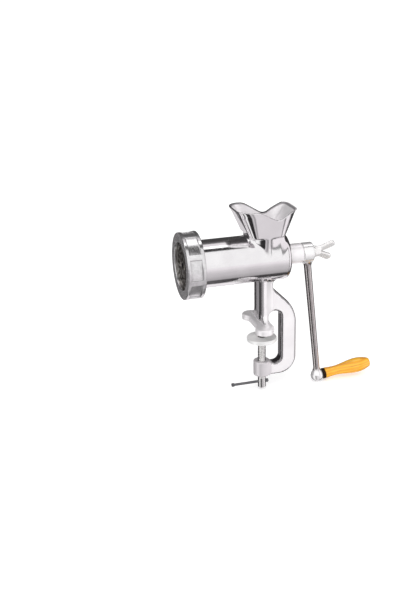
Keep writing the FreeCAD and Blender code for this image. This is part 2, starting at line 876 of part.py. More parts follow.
pieces = {
    "body_casting": body_casting,
    "ring_nut": ring_nut,
    "grinding_plate": grinding_plate,
    "plate_key": plate_key,
    "cutter_knife": cutter_knife,
    "knife_stub": knife_stub,
    "feed_screw": feed_screw,
    "rear_bush": rear_bush,
    "thrust_washer": thrust_washer,
    "crank_arm": crank_arm,
    "crank_washer": crank_washer,
    "thumb_screw": thumb_screw,
    "wooden_grip": wooden_grip,
    "grip_ferrule": grip_ferrule,
    "grip_axle": grip_axle,
    "grip_end_washer": grip_end_washer,
    "swivel_pad": swivel_pad,
    "pad_rivet": pad_rivet,
    "clamp_screw": clamp_screw,
    "tommy_bar": tommy_bar,
    "bar_caps": bar_caps,
}

os.makedirs("parts", exist_ok=True)
for name, make in pieces.items():
    solid = make()
    save(name, solid)
    print(name, len(solid.Solids), "solid, valid", solid.isValid(), "volume", round(solid.Volume))
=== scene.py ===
import math

import bpy
import numpy as np
from mathutils import Matrix, Vector


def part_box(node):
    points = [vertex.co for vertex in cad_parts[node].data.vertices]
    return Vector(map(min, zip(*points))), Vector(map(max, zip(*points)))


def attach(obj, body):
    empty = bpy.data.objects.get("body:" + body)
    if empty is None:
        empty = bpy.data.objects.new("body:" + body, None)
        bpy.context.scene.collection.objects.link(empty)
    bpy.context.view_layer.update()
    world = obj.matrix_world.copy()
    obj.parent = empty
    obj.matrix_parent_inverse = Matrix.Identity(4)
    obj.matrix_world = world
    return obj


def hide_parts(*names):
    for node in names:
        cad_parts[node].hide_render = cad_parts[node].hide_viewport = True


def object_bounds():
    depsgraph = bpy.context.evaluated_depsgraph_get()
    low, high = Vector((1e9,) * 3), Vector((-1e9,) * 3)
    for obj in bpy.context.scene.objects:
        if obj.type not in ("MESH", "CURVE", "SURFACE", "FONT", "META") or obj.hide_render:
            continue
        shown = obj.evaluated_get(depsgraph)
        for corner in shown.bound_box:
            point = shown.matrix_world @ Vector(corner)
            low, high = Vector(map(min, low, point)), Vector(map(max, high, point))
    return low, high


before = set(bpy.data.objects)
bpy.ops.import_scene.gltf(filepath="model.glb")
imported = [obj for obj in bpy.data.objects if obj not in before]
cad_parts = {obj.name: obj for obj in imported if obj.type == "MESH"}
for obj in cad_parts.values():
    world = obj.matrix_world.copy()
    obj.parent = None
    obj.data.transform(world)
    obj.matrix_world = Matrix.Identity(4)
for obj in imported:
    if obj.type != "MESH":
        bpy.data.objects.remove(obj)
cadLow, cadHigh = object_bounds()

# Hand-cranked meat grinder with a table clamp. +X runs from the outlet to the crank, +Z is up.
# Shapes are worked out in millimetres and written to the meshes in metres.
mm = 0.001
scene = bpy.context.scene


def spot(node):
    # lowest and highest corner of a node of the frame, in millimetres
    low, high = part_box(node)
    return low / mm, high / mm


def addObject(name, data):
    made = bpy.data.objects.new(name, data)
    scene.collection.objects.link(made)
    return made


bushLow, bushHigh = spot("rear_bush")
axisHeight = (bushLow.z + bushHigh.z) / 2    # barrel's axis above the jaw

print("stage 1: frame loaded,", len(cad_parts), "nodes")


# Camera, floor and light

view = {
    "place": (-0.33520, -0.97240, 0.42515),
    "azimuth": 14.8616,        # degrees to the left of straight ahead
    "elevation": 20.8373,
    "roll": -1.5754,
    "focalPixels": 900.0,      # of an image 401 wide and 601 high
    "imageHeight": 601.0,
    "sensor": 36.0,
    "clip": (0.05, 50.0),
}


def makeCamera():
    data = bpy.data.cameras.new("photo_camera")
    data.sensor_width = view["sensor"]
    data.lens = view["focalPixels"] * view["sensor"] / view["imageHeight"]
    data.clip_start, data.clip_end = view["clip"]
    turn, rise, roll = (math.radians(view[key]) for key in ("azimuth", "elevation", "roll"))
    back = Vector((-math.sin(turn) * math.cos(rise), -math.cos(turn) * math.cos(rise), math.sin(rise)))
    side = Vector((math.cos(turn), -math.sin(turn), 0))
    up = back.cross(side)
    right = side * math.cos(roll) + up * math.sin(roll)
    top = up * math.cos(roll) - side * math.sin(roll)
    turned = Matrix((right, top, back)).transposed().to_4x4()
    camera = addObject("photo_camera", data)
    camera.matrix_world = Matrix.Translation(view["place"]) @ turned
    scene.camera = camera


studio = {
    "floorDrop": 0.0004,       # below the lowest point
    "floorSize": 30.0,
    "floorShade": 0.90,
    "floorRough": 0.9,
    "floorGlow": 0.34,
    "wash": (1.25, 0.45),      # light on rough surfaces, from the front and from behind
    "keyPower": 7.0,
    "keySize": 0.9,
    "keyPlace": (-0.55, -1.1, 1.25),
    "fillPower": 3.0,
    "fillSize": 1.2,
    "fillPlace": (1.3, -0.7, 0.5),
}

# What a mirror sees, as degrees and brightness
surround = {
    # round the barrel's axis, upwards from the front
    "round": [
        (-180, 0.10), (-150, 0.12), (-138, 0.95), (-106, 0.95), (-101, 0.05), (-77, 0.05), (-72, 0.42),
        (-40, 0.60), (-25, 0.74), (-17, 0.88), (-12, 0.93), (-5, 1.0), (70, 1.0), (75, 0.04), (88, 0.04),
        (92, 2.0), (99, 1.9), (104, 0.88), (116, 0.86), (124, 0.16), (140, 0.06), (178, 0.06),
        (180, 0.10),
    ],
    # round the upright, from the front towards the outlet
    "level": [
        (-180, 0.70), (-150, 0.70), (-140, 0.8), (-14, 0.8), (-8, 0.35), (0, 0.38), (6, 0.60),
        (14, 0.60), (21, 0.03), (54, 0.03), (61, 1.0), (84, 1.0), (92, 0.42), (102, 0.38), (110, 0.05),
        (152, 0.05), (158, 0.30), (164, 0.30), (168, 0.05), (174, 0.10), (178, 0.70), (180, 0.70),
    ],
    # towards the crank: share of "round" that is left
    "crankwards": [(0.0, 1.0), (0.40, 1.0), (0.46, 0.30), (1.0, 0.30)],
    # the same way round as "round", but further towards the crank
    "far": [(-180, 0.05), (-95, 0.05), (-75, 0.7), (-60, 0.94), (78, 0.94), (92, 0.05), (180, 0.05)],
    "farFrom": (0.54, 0.64),
    "blend": (0.10, 0.28),     # how far towards the crank "level" gives way to "round"
    "upBlend": (0.0, 0.15),    # and how far upwards
    "tint": (1.0, 0.965, 0.99),
}


def addNode(tree, kind, settings=None, **inputs):
    made = tree.nodes.new(kind)
    for key, value in (settings or {}).items():
        setattr(made, key, value)
    fill(tree, made, **inputs)
    return made.outputs


def fill(tree, made, **inputs):
    # Base_Color means the socket "Base Color", and at0 the first socket
    for key, value in inputs.items():
        label = int(key[2:]) if key[:2] == "at" and key[2:].isdigit() else key.replace("_", " ")
        feed(tree, value, made.inputs[label])


def feed(tree, value, socket):
    # a value is a number, a tuple or another node's output, or a list of outputs that all go in
    if isinstance(value, list):
        for part in value:
            feed(tree, part, socket)
    elif isinstance(value, bpy.types.NodeSocket):
        tree.links.new(value, socket)
    elif isinstance(value, tuple) and len(value) == 3 and socket.type == "RGBA":
        socket.default_value = (*value, 1)
    else:
        socket.default_value = value


def maths(tree, operation, *values):
    made = tree.nodes.new("ShaderNodeMath")
    made.operation = operation
    for socket, value in zip(made.inputs, values):
        feed(tree, value, socket)
    return made.outputs[0]


def vectorMaths(tree, operation, first, second):
    return addNode(tree, "ShaderNodeVectorMath", {"operation": operation}, at0=first, at1=second)[0]


def mixTone(tree, share, first, second):
    return addNode(tree, "ShaderNodeMix", {"data_type": "RGBA"}, at0=share, at6=first, at7=second)[2]


def mixNumber(tree, share, first, second):
    return addNode(tree, "ShaderNodeMix", at0=share, at2=first, at3=second)[0]


def noise(tree, place, scale, detail=2.0, roughness=0.5):
    return addNode(
        tree, "ShaderNodeTexNoise", Vector=place, Scale=scale, Detail=detail, Roughness=roughness
    )[0]


def spread(tree, value, low, high, toLow=0.0, toHigh=1.0, kind="LINEAR"):
    # a number from low to high becomes one from toLow to toHigh
    return addNode(
        tree, "ShaderNodeMapRange", {"interpolation_type": kind}, Value=value,
        From_Min=low, From_Max=high, To_Min=toLow, To_Max=toHigh,
    )[0]


def ramp(tree, share, stops, tint=(1, 1, 1), white=0.95):
    # stops are (place from 0 to 1, brightness); greys take the tint, white doesn't
    made = tree.nodes.new("ShaderNodeValToRGB")
    feed(tree, share, made.inputs[0])
    made.color_ramp.interpolation = "EASE"
    marks = made.color_ramp.elements
    marks[0].position, marks[1].position = stops[0][0], stops[-1][0]
    for place, _ in stops[1:-1]:
        marks.new(place)
    for mark, (_, bright) in zip(marks, stops):
        shade = (1, 1, 1) if bright > white else tint
        mark.color = (*(bright * part for part in shade), 1)
    return made.outputs[0]


def newMaterial(name):
    material = bpy.data.materials.new(name)
    material.use_nodes = True
    return material, material.node_tree, material.node_tree.nodes["Principled BSDF"]


def makeFloor():
    half = studio["floorSize"] / 2
    level = cadLow.z - studio["floorDrop"]
    mesh = bpy.data.meshes.new("studio_floor")
    corners = [(-half, -half, level), (half, -half, level), (half, half, level), (-half, half, level)]
    mesh.from_pydata(corners, [], [(0, 1, 2, 3)])
    paper, tree, shader = newMaterial("studio_paper")
    fill(
        tree, shader, Base_Color=(studio["floorShade"],) * 3, Roughness=studio["floorRough"],
        Specular_IOR_Level=0.0, Emission_Color=(1, 1, 1), Emission_Strength=studio["floorGlow"],
    )
    mesh.materials.append(paper)
    floor = addObject("studio_floor", mesh)
    floor.visible_glossy = False    # the polished metal mirrors the surround instead


def makeSurround():
    # white to the camera, soft light on rough surfaces, bands of light and dark in the metal
    world = bpy.data.worlds.new("studio_surround")
    scene.world = world
    world.use_nodes = True
    tree = world.node_tree
    tree.nodes.clear()
    place = addNode(tree, "ShaderNodeTexCoord")["Generated"]
    toCrank, toBack, upward = addNode(tree, "ShaderNodeSeparateXYZ", at0=place)
    forward = maths(tree, "MULTIPLY", toBack, -1.0)
    outletwards = maths(tree, "MULTIPLY", toCrank, -1.0)
    bands = {}
    for key, aside in (("round", upward), ("level", outletwards), ("far", upward)):
        angle = maths(tree, "ARCTAN2", aside, forward)
        share = maths(tree, "MULTIPLY_ADD", angle, 0.5 / math.pi, 0.5)
        stops = [((degrees + 180) / 360, bright) for degrees, bright in surround[key]]
        bands[key] = ramp(tree, share, stops, surround["tint"])
    left = ramp(tree, toCrank, surround["crankwards"])
    dimmed = vectorMaths(tree, "MULTIPLY", bands["round"], left)
    dimmed = mixTone(tree, spread(tree, toCrank, *surround["farFrom"]), dimmed, bands["far"])
    share = spread(tree, toCrank, *surround["blend"], kind="SMOOTHSTEP")
    share = maths(tree, "MAXIMUM", share, spread(tree, upward, *surround["upBlend"]))
    mirrored = addNode(tree, "ShaderNodeBackground", Color=mixTone(tree, share, bands["level"], dimmed))
    seen = addNode(tree, "ShaderNodeLightPath")
    soft = spread(tree, toBack, -1.0, 1.0, *studio["wash"])
    soft = maths(tree, "MAXIMUM", soft, seen["Is Camera Ray"])
    wash = addNode(tree, "ShaderNodeBackground", Color=(1, 1, 1), Strength=soft)
    chosen = addNode(tree, "ShaderNodeMixShader", at0=seen["Is Glossy Ray"], at1=wash[0], at2=mirrored[0])
    addNode(tree, "ShaderNodeOutputWorld", Surface=chosen[0])


def makeLamp(name):
    data = bpy.data.lights.new(name + "_light", "AREA")
    data.energy = studio[name + "Power"]
    data.size = studio[name + "Size"]
    lamp = addObject(name + "_light", data)
    lamp.location = studio[name + "Place"]
    lamp.rotation_euler = (-lamp.location).to_track_quat("-Z", "Y").to_euler()
    lamp.visible_camera = False
    lamp.visible_glossy = False


makeCamera()
makeFloor()
makeSurround()
makeLamp("key")
makeLamp("fill")
scene.view_settings.view_transform = "Standard"
print("stage 2: camera, floor and light")


# Shader groups and materials

socketKinds = {float: "NodeSocketFloat", int: "NodeSocketInt", tuple: "NodeSocketVector"}


def newGroup(name, kind, inputs, *outputs, outputKind="NodeSocketFloat"):
    # an empty node group: inputs are names with their usual values, and None for a material
    group = bpy.data.node_groups.new(name, kind)
    for label, value in inputs.items():
        socketKind = socketKinds.get(type(value), "NodeSocketMaterial")
        socket = group.interface.new_socket(label, in_out="INPUT", socket_type=socketKind)
        if value is not None:
            socket.default_value = value
    for label in outputs:
        group.interface.new_socket(label, in_out="OUTPUT", socket_type=outputKind)
    return group, group.nodes.new("NodeGroupInput").outputs, group.nodes.new("NodeGroupOutput")


def surfaceWearGroup(poreSpan=(0.62, 0.78)):
    # cast or polished metal: cloudy tone, fine scratches, dust in the pores, and a height for bump
    tree, given, result = newGroup(
        "surfaceWear",
        "ShaderNodeTree",
        {
            "Place": (0.0, 0.0, 0.0), "Cloud Size": 60.0, "Pore Size": 1400.0, "Wave Size": 38.0,
            "Scratch Size": 900.0, "Scratch Stretch": (1.0, 1.0, 1.0),
            "Scratch Depth": 0.3, "Pore Depth": 0.3, "Wave Depth": 1.0,
        },
        "Cloud", "Scratches", "Pores", "Height",
    )
    place = given["Place"]
    cloud = noise(tree, place, given["Cloud Size"], detail=4.0, roughness=0.55)
    stretched = vectorMaths(tree, "MULTIPLY", place, given["Scratch Stretch"])
    scratches = noise(tree, stretched, given["Scratch Size"], detail=3.0, roughness=0.6)
    pores = spread(tree, noise(tree, place, given["Pore Size"]), *poreSpan)
    wave = noise(tree, place, given["Wave Size"], detail=1.0, roughness=0.4)
    height = maths(tree, "MULTIPLY", scratches, given["Scratch Depth"])
    height = maths(tree, "SUBTRACT", height, maths(tree, "MULTIPLY", pores, given["Pore Depth"]))
    height = maths(tree, "ADD", height, maths(tree, "MULTIPLY", wave, given["Wave Depth"]))
    fill(tree, result, Cloud=cloud, Scratches=scratches, Pores=pores, Height=height)
    return tree


surfaceWear = surfaceWearGroup()


def useGroup(tree, group, place, values):
    # sets those of the values that the group has an input for
    known = {item.name: values[item.name] for item in group.interface.items_tree if item.name in values}
    return addNode(tree, "ShaderNodeGroup", {"node_tree": group}, Place=place, **known)


usualMetal = {
    "metallic": 1.0, "scratchRough": 0.1, "bump": 0.3, "bumpDepth": 0.0002,
    "cloudSpan": (0.3, 0.7), "scratchSpan": (0.35, 0.7),    # parts of the noise that show
    # the hollows' share paints dirt and shade into them
    "pores": 1.0, "dirt": 0.5, "rub": 0.3,    # how much pores, hollows and edges change the tone
}


def metal(name, look):
    # a worn metal from one dictionary of its tone, gloss and marks, with dirt and painted shade in its
    # hollows, and painted dark reflections along the casting's edges
    look = {**usualMetal, "rubbed": look["light"], **look}
    material, tree, shader = newMaterial(name)
    place = addNode(tree, "ShaderNodeTexCoord")["Object"]
    worn = useGroup(tree, surfaceWear, place, look)
    cloud = spread(tree, worn["Cloud"], *look["cloudSpan"])
    tone = mixTone(tree, cloud, look["dark"], look["light"])
    tone = mixTone(tree, maths(tree, "MULTIPLY", worn["Pores"], look["pores"]), tone, look["grime"])
    gloss = spread(tree, cloud, 0.0, 1.0, *look["rough"])
    metallic = look["metallic"]

    def mark(label):
        return addNode(tree, "ShaderNodeAttribute", {"attribute_name": label})["Fac"]

    if "brushed" in look:
        other = look["brushed"]
        zone = mark("brushed")
        tone = mixTone(tree, zone, tone, mixTone(tree, cloud, other["dark"], other["light"]))
        # painted shade: a darker tone on the screw boss
        if "dull" in other:
            tone = mixTone(tree, mark("dull"), tone, other["dull"])
        gloss = mixNumber(tree, zone, gloss, other["rough"])
        metallic = spread(tree, zone, 0.0, 1.0, metallic, other["metallic"])
    # hollows darken with dirt and painted shade; edges take the rubbed tone: worn, and on the casting a
    # painted dark reflection
    for label, share, stain in (("hollow", "dirt", "grime"), ("edge", "rub", "rubbed")):
        tone = mixTone(tree, maths(tree, "MULTIPLY", mark(label), look[share]), tone, look[stain])
    scratched = spread(tree, worn["Scratches"], *look["scratchSpan"], 0.0, look["scratchRough"])
    gloss = maths(tree, "ADD", gloss, scratched)
    bump = addNode(
        tree, "ShaderNodeBump", Height=worn["Height"], Strength=look["bump"], Distance=look["bumpDepth"]
    )
    fill(tree, shader, Base_Color=tone, Metallic=metallic, Roughness=gloss, Normal=bump[0])
    return material


# grime tones darken pores with dirt, and hollows with dirt and painted shade
finishes = {
    "polished_casting": {
        "dark": (0.84, 0.82, 0.835), "light": (0.93, 0.915, 0.925), "grime": (0.62, 0.60, 0.61),
        "rough": (0.07, 0.13), "scratchRough": 0.05, "bump": 0.35, "bumpDepth": 0.0003,
        "Cloud Size": 45.0, "Scratch Size": 700.0, "Scratch Depth": 0.10, "Pore Depth": 0.03,
        # on the casting the dark rubbed tone paints dark reflections along the frame's rounded edges and
        # under the hopper's rim
        "dirt": 0.35, "pores": 0.2, "rub": 0.85, "rubbed": (0.20, 0.19, 0.20),
        "brushed": {
            "dark": (0.88, 0.85, 0.87), "light": (0.95, 0.93, 0.94), "rough": 0.32, "metallic": 0.42,
            # painted shade on the clamp screw's boss under the frame
            "dull": (0.66, 0.63, 0.65),
        },
    },
    "nut_casting": {
        "dark": (0.62, 0.61, 0.62), "light": (0.84, 0.83, 0.84), "grime": (0.42, 0.41, 0.41),
        "rough": (0.10, 0.16), "scratchRough": 0.04, "bump": 0.4, "bumpDepth": 0.0004, "metallic": 0.92,
        "Cloud Size": 130.0, "Scratch Depth": 0.10, "Pore Depth": 0.12, "pores": 0.25,
    },
    "worm_casting": {
        "dark": (0.50, 0.49, 0.49), "light": (0.66, 0.65, 0.65), "grime": (0.28, 0.27, 0.26),
        "rough": (0.28, 0.42), "scratchRough": 0.08, "bump": 0.6, "bumpDepth": 0.0003, "Pore Depth": 0.5,
    },
    "pad_casting": {
        "dark": (0.84, 0.84, 0.83), "light": (0.94, 0.935, 0.93), "grime": (0.6, 0.6, 0.58),
        "rough": (0.26, 0.36), "scratchRough": 0.08, "bump": 0.5, "bumpDepth": 0.0003, "metallic": 0.35,
    },
    "cutting_steel": {
        "dark": (0.20, 0.18, 0.155), "light": (0.46, 0.44, 0.40), "grime": (0.10, 0.08, 0.06),
        "rough": (0.20, 0.38), "bump": 0.5, "Scratch Stretch": (0.1, 1.0, 1.0),
    },
    "crank_steel": {
        "dark": (0.60, 0.555, 0.55), "light": (0.70, 0.665, 0.66), "grime": (0.30, 0.26, 0.25),
        "rough": (0.14, 0.20), "scratchRough": 0.05, "bump": 0.2, "Scratch Stretch": (1.0, 1.0, 0.12),
        "Pore Depth": 0.1, "Wave Depth": 0.3,
        "brushed": {
            "dark": (0.88, 0.87, 0.875), "light": (0.96, 0.95, 0.955), "rough": 0.14, "metallic": 0.65,
        },
    },
    "plated_steel": {
        "dark": (0.88, 0.87, 0.86), "light": (0.95, 0.94, 0.935), "grime": (0.62, 0.60, 0.58),
        "rough": (0.12, 0.20), "scratchRough": 0.06, "Pore Depth": 0.1,
    },
    "wing_plating": {
        "dark": (0.90, 0.885, 0.88), "light": (0.96, 0.95, 0.945), "grime": (0.75, 0.72, 0.70),
        "rough": (0.22, 0.30), "scratchRough": 0.06, "Pore Depth": 0.1, "metallic": 0.55,
    },
    "bar_steel": {
        "dark": (0.16, 0.16, 0.17), "light": (0.30, 0.30, 0.31), "grime": (0.08, 0.07, 0.07),
        "rough": (0.25, 0.4), "bump": 0.5, "Scratch Stretch": (0.1, 1.0, 1.0),
    },
    "bush_bronze": {
        "dark": (0.55, 0.36, 0.17), "light": (0.78, 0.54, 0.28), "grime": (0.22, 0.14, 0.08),
        "rough": (0.2, 0.35), "bump": 0.4,
    },
    "dark_ferrule": {
        "dark": (0.035, 0.020, 0.014), "light": (0.09, 0.05, 0.03), "grime": (0.02, 0.014, 0.01),
        "rough": (0.15, 0.3), "bump": 0.4,
    },
    "washer_plastic": {
        "dark": (0.82, 0.80, 0.74), "light": (0.90, 0.88, 0.83), "grime": (0.6, 0.56, 0.48),
        "rough": (0.4, 0.5), "metallic": 0.0,
    },
}
materials = {name: metal(name, look) for name, look in finishes.items()}

grip = {
    "tilt": 6.5,               # degrees, upwards from the barrel's axis
    "start": 10.4, "end": 72.0,
    "shape": [(10.4, 7.0), (25.0, 6.1), (52.5, 9.4), (67.2, 7.2), (72.0, 5.4)],    # (along, radius)
    # the rounded ends: shares of "round" that a point lies in from the end, and under the radius
    "round": 1.0, "startRound": [(0.0, 1.0), (0.3, 0.3)], "endRound": [(0.3, 0.1), (0.0, 0.8)],
    "bore": 3.1, "recess": 4.4, "recessAt": 69.0,
    "ferrule": (7.2, 10.2), "ferruleRadius": 6.9, "ferruleEdge": 0.5,
    "groove": [(1.0, 0.0), (1.3, 0.4), (1.7, 0.4), (2.0, 0.0)], "grooveEdge": 0.2,    # (along, depth)
}
wood = {
    "pale": (0.90, 0.47, 0.018),
    "deep": (0.78, 0.32, 0.010),
    "pore": (0.46, 0.17, 0.010),
    "Ring Size": 90.0,
    "Streak Size": 260.0,
    "poreSpan": (0.55, 0.8), "poreShare": (0.0, 0.75),
    "roughSpan": (0.3, 0.8), "rough": (0.3, 0.45),
    "bump": 0.15, "bumpDepth": 0.0001,
    "coat": 0.9,
    "coatRoughness": 0.10,
}


def grainGroup():
    # long fibres and growth rings for wood whose grain runs along X
    tree, given, result = newGroup(
        "woodGrain",
        "ShaderNodeTree",
        {
            "Place": (0.0, 0.0, 0.0),
            "Ring Size": 90.0, "Ring Stretch": (0.12, 1.0, 1.0),
            "Bend": 0.012, "Bend Size": 45.0, "Bend Way": (0.0, 0.35, 1.0),
            "Streak Size": 260.0, "Streak Stretch": (0.05, 1.0, 1.0),
        },
        "Rings", "Streaks", "Height",
    )
    squeezed = vectorMaths(tree, "MULTIPLY", given["Place"], given["Ring Stretch"])
    bent = maths(tree, "MULTIPLY", noise(tree, squeezed, given["Bend Size"]), given["Bend"])
    scaled = {"operation": "SCALE"}
    shifted = addNode(tree, "ShaderNodeVectorMath", scaled, at0=given["Bend Way"], Scale=bent)[0]
    moved = vectorMaths(tree, "ADD", squeezed, shifted)
    rings = addNode(
        tree, "ShaderNodeTexWave", {"wave_type": "BANDS", "bands_direction": "Z"}, Vector=moved,
        Scale=given["Ring Size"], Distortion=2.5, Detail=2.0,
    )
    fine = vectorMaths(tree, "MULTIPLY", given["Place"], given["Streak Stretch"])
    streaks = noise(tree, fine, given["Streak Size"], detail=4.0, roughness=0.65)
    fill(tree, result, Rings=rings["Fac"], Streaks=streaks, Height=streaks)
    return tree


def lacqueredWood():
    material, tree, shader = newMaterial("lacquered_wood")
    place = addNode(tree, "ShaderNodeTexCoord")["Object"]
    along = addNode(tree, "ShaderNodeMapping", Vector=place, Rotation=(0, math.radians(grip["tilt"]), 0))
    grain = useGroup(tree, grainGroup(), along[0], wood)
    tone = mixTone(tree, grain["Rings"], wood["pale"], wood["deep"])
    pores = spread(tree, grain["Streaks"], *wood["poreSpan"], *wood["poreShare"])
    bump = addNode(
        tree, "ShaderNodeBump", Height=grain["Height"], Strength=wood["bump"], Distance=wood["bumpDepth"]
    )
    fill(
        tree, shader, Base_Color=mixTone(tree, pores, tone, wood["pore"]), Normal=bump[0],
        Roughness=spread(tree, grain["Streaks"], *wood["roughSpan"], *wood["rough"]),
        Coat_Weight=wood["coat"], Coat_Roughness=wood["coatRoughness"],
    )
    return material


materials["lacquered_wood"] = lacqueredWood()
print("stage 3: materials")


# Shapes from distance fields: below zero is inside, in millimetres

def roundUnion(a, b, radius):    # both shapes, with a hollow fillet where they meet
    corner = np.hypot(np.maximum(radius - a, 0), np.maximum(radius - b, 0))
    return np.maximum(np.minimum(a, b), radius) - corner


def roundOverlap(a, b, radius):    # what both shapes share, with its edge rounded
    return -roundUnion(-a, -b, radius)


def roundCut(a, b, radius):    # the first shape without the second, with a rounded edge
    return -roundUnion(-a, b, radius)


def slab(value, low, high):
    return np.maximum(low - value, value - high)


def smooth(value):    # eases from 0 to 1
    value = np.clip(value, 0, 1)
    return value * value * (3 - 2 * value)


def bar(place, start, end, startRadius, endRadius):
    # round bar with ball ends between two points, tapered
    run = np.subtract(end, start)
    share = sum((p - s) * r for p, s, r in zip(place, start, run)) / (run @ run)
    share = np.clip(share, 0, 1)
    away = np.sqrt(sum((p - s - share * r) ** 2 for p, s, r in zip(place, start, run)))
    return away - startRadius - (endRadius - startRadius) * share


def outline(pieces, x, z, squarer=1e-4):
    # distance to a clockwise outline of lines ("line", a, b) and arcs ("arc", centre, radius, from, to)
    keys, distances = [], []
    for piece in pieces:
        if piece[0] == "line":
            (startX, startZ), (endX, endZ) = piece[1:]
            runX, runZ = endX - startX, endZ - startZ
            length = math.hypot(runX, runZ)
            share = np.clip(((x - startX) * runX + (z - startZ) * runZ) / length ** 2, 0, 1)
            away = np.hypot(x - startX - share * runX, z - startZ - share * runZ)
            side = (runX * (z - startZ) - runZ * (x - startX)) / length
        else:
            (midX, midZ), radius, begin, finish = piece[1:]
            reach = np.hypot(x - midX, z - midZ)
            middle, half = math.radians((begin + finish) / 2), math.radians(abs(finish - begin) / 2)
            turn = (np.arctan2(z - midZ, x - midX) - middle + math.pi) % (2 * math.pi) - math.pi
            ends = [
                np.hypot(x - midX - radius * math.cos(a), z - midZ - radius * math.sin(a))
                for a in (math.radians(begin), math.radians(finish))
            ]
            away = np.where(np.abs(turn) <= half, np.abs(reach - radius), np.minimum(*ends))
            side = reach - radius if finish < begin else radius - reach
        keys.append(away - squarer * np.abs(side))    # at a corner, the piece that is faced more squarely
        distances.append(np.where(side < 0, -away, away))
    nearest = np.argmin(keys, axis=0)[None]
    return np.take_along_axis(np.array(distances), nearest, axis=0)[0]


def meshObject(name, points, faces, normals, marks):
    # a piece from points in millimetres and faces of point numbers, with numbers kept at its points
    mesh = bpy.data.meshes.new(name)
    mesh.vertices.add(len(points))
    mesh.vertices.foreach_set("co", (points * mm).astype(np.float32).ravel())
    mesh.loops.add(faces.size)
    mesh.loops.foreach_set("vertex_index", faces.astype(np.int32).ravel())
    mesh.polygons.add(len(faces))
    mesh.polygons.foreach_set("loop_start", np.arange(0, faces.size, faces.shape[1], dtype=np.int32))
    mesh.update(calc_edges=True)
    mesh.validate()
    mesh.shade_smooth()
    mesh.normals_split_custom_set_from_vertices(normals)
    for label, values in marks.items():
        mesh.attributes.new(label, "FLOAT", "POINT").data.foreach_set("value", values.astype(np.float32))
    return addObject(name, mesh)


def slopes(field, points, reach):
    # gradient of a field at points, by differences over twice the reach
    steps = np.eye(3) * reach
    ahead = [field(*(points + step).T) - field(*(points - step).T) for step in steps]
    return np.stack(ahead, axis=1) / (2 * reach)


def settle(field, points, times=2, reach=0.02, gentlest=0.05):
    # moves points onto the surface of a field
    for _ in range(times):
        grade = slopes(field, points, reach)
        steep = np.maximum((grade ** 2).sum(1), gentlest)
        points = points - grade * (field(*points.T) / steep)[:, None]
    return points


def wornPlaces(field, points, normals, reach=3.0, keen=1.6):
    # hollows where dirt stays and painted shade falls, and edges that are rubbed: both from 0 to 1
    # painted shade: the less free space along the normal, the darker the hollow
    hollow = 1 - field(*(points + normals * reach).T) / reach
    edge = 1 + field(*(points - normals).T)
    return {"hollow": np.clip(hollow, 0, 1), "edge": np.clip(edge * keen, 0, 1)}


def spacing(low, high, steps, past=1.5):
    # grid lines along one axis: steps are (from here on, step), and the first holds before it too
    lines = [low - past * steps[0][1]]
    while lines[-1] < high + past * steps[-1][1]:
        passed = [step for start, step in steps if lines[-1] >= start]
        lines.append(lines[-1] + (passed or [steps[0][1]])[-1])
    return np.array(lines)


def fieldMesh(name, field, low, high, steps, paint=None, relax=3, normalReach=0.12):
    # surface of a distance field, as even quads that lie on it
    if isinstance(steps, float):
        steps = [[(start, steps)] for start in low]
    axes = [spacing(a, b, part) for a, b, part in zip(low, high, steps)]
    grid = np.meshgrid(*axes, indexing="ij", sparse=True)
    value = np.broadcast_to(field(*grid), [len(a) for a in axes])
    inside = value < 0
    cells = [n - 1 for n in value.shape]
    corners = [(i, j, k) for i in (0, 1) for j in (0, 1) for k in (0, 1)]

    # each cell that the surface crosses gets one point, amid the crossings of its edges
    filled = sum(
        inside[tuple(slice(s, s + n) for s, n in zip(shift, cells))].astype(np.int8) for shift in corners
    )
    crossed = (filled > 0) & (filled < 8)
    where = np.argwhere(crossed)
    number = np.full(cells, -1, np.int64)
    number[crossed] = np.arange(len(where))
    total = np.zeros((len(where), 3))
    count = np.zeros(len(where))
    for first in corners:
        for axis in range(3):
            if first[axis]:
                continue
            second = list(first)
            second[axis] = 1
            a = value[tuple((where + first).T)]
            b = value[tuple((where + second).T)]
            cut = (a < 0) != (b < 0)
            point = np.array(first, float) + np.zeros((len(where), 3))
            point[:, axis] += np.where(cut, a / np.where(cut, a - b, 1), 0)
            total += point * cut[:, None]
            count += cut
    places = (where + total / count[:, None]).T
    points = [np.interp(place, np.arange(len(axis)), axis) for place, axis in zip(places, axes)]
    points = np.stack(points, axis=1)

    # each edge of the grid that the surface crosses gets one face, from the four cells round it
    faces = []
    for axis in range(3):
        across, over = (axis + 1) % 3, (axis + 2) % 3
        near = [slice(None)] * 3
        far = [slice(None)] * 3
        near[axis], far[axis] = slice(0, -1), slice(1, None)
        edges = np.argwhere(inside[tuple(near)] != inside[tuple(far)])
        outwards = inside[tuple(edges.T)]
        ring = []
        for a, b in ((-1, -1), (0, -1), (0, 0), (-1, 0)):
            cell = edges.copy()
            cell[:, across] += a
            cell[:, over] += b
            ring.append(number[tuple(cell.T)])
        ring = np.stack(ring, axis=1)
        ring[~outwards] = ring[~outwards][:, ::-1]
        faces.append(ring)
    faces = np.concatenate(faces)

    # the points move towards the middles of their faces, and back onto the surface
    points = settle(field, points)
    for _ in range(relax):
        middle = points[faces].mean(1)
        total = np.zeros_like(points)
        count = np.zeros(len(points))
        for place in range(4):
            np.add.at(total, faces[:, place], middle)
            np.add.at(count, faces[:, place], 1)
        points = settle(field, 0.5 * points + 0.5 * total / count[:, None], 1)
    points = settle(field, points)
    normals = slopes(field, points, normalReach)
    normals /= np.maximum(np.linalg.norm(normals, axis=1), 1e-6)[:, None]
    marks = wornPlaces(field, points, normals)
    if paint:
        marks.update(paint(points, normals))
    return meshObject(name, points, faces, normals, marks)


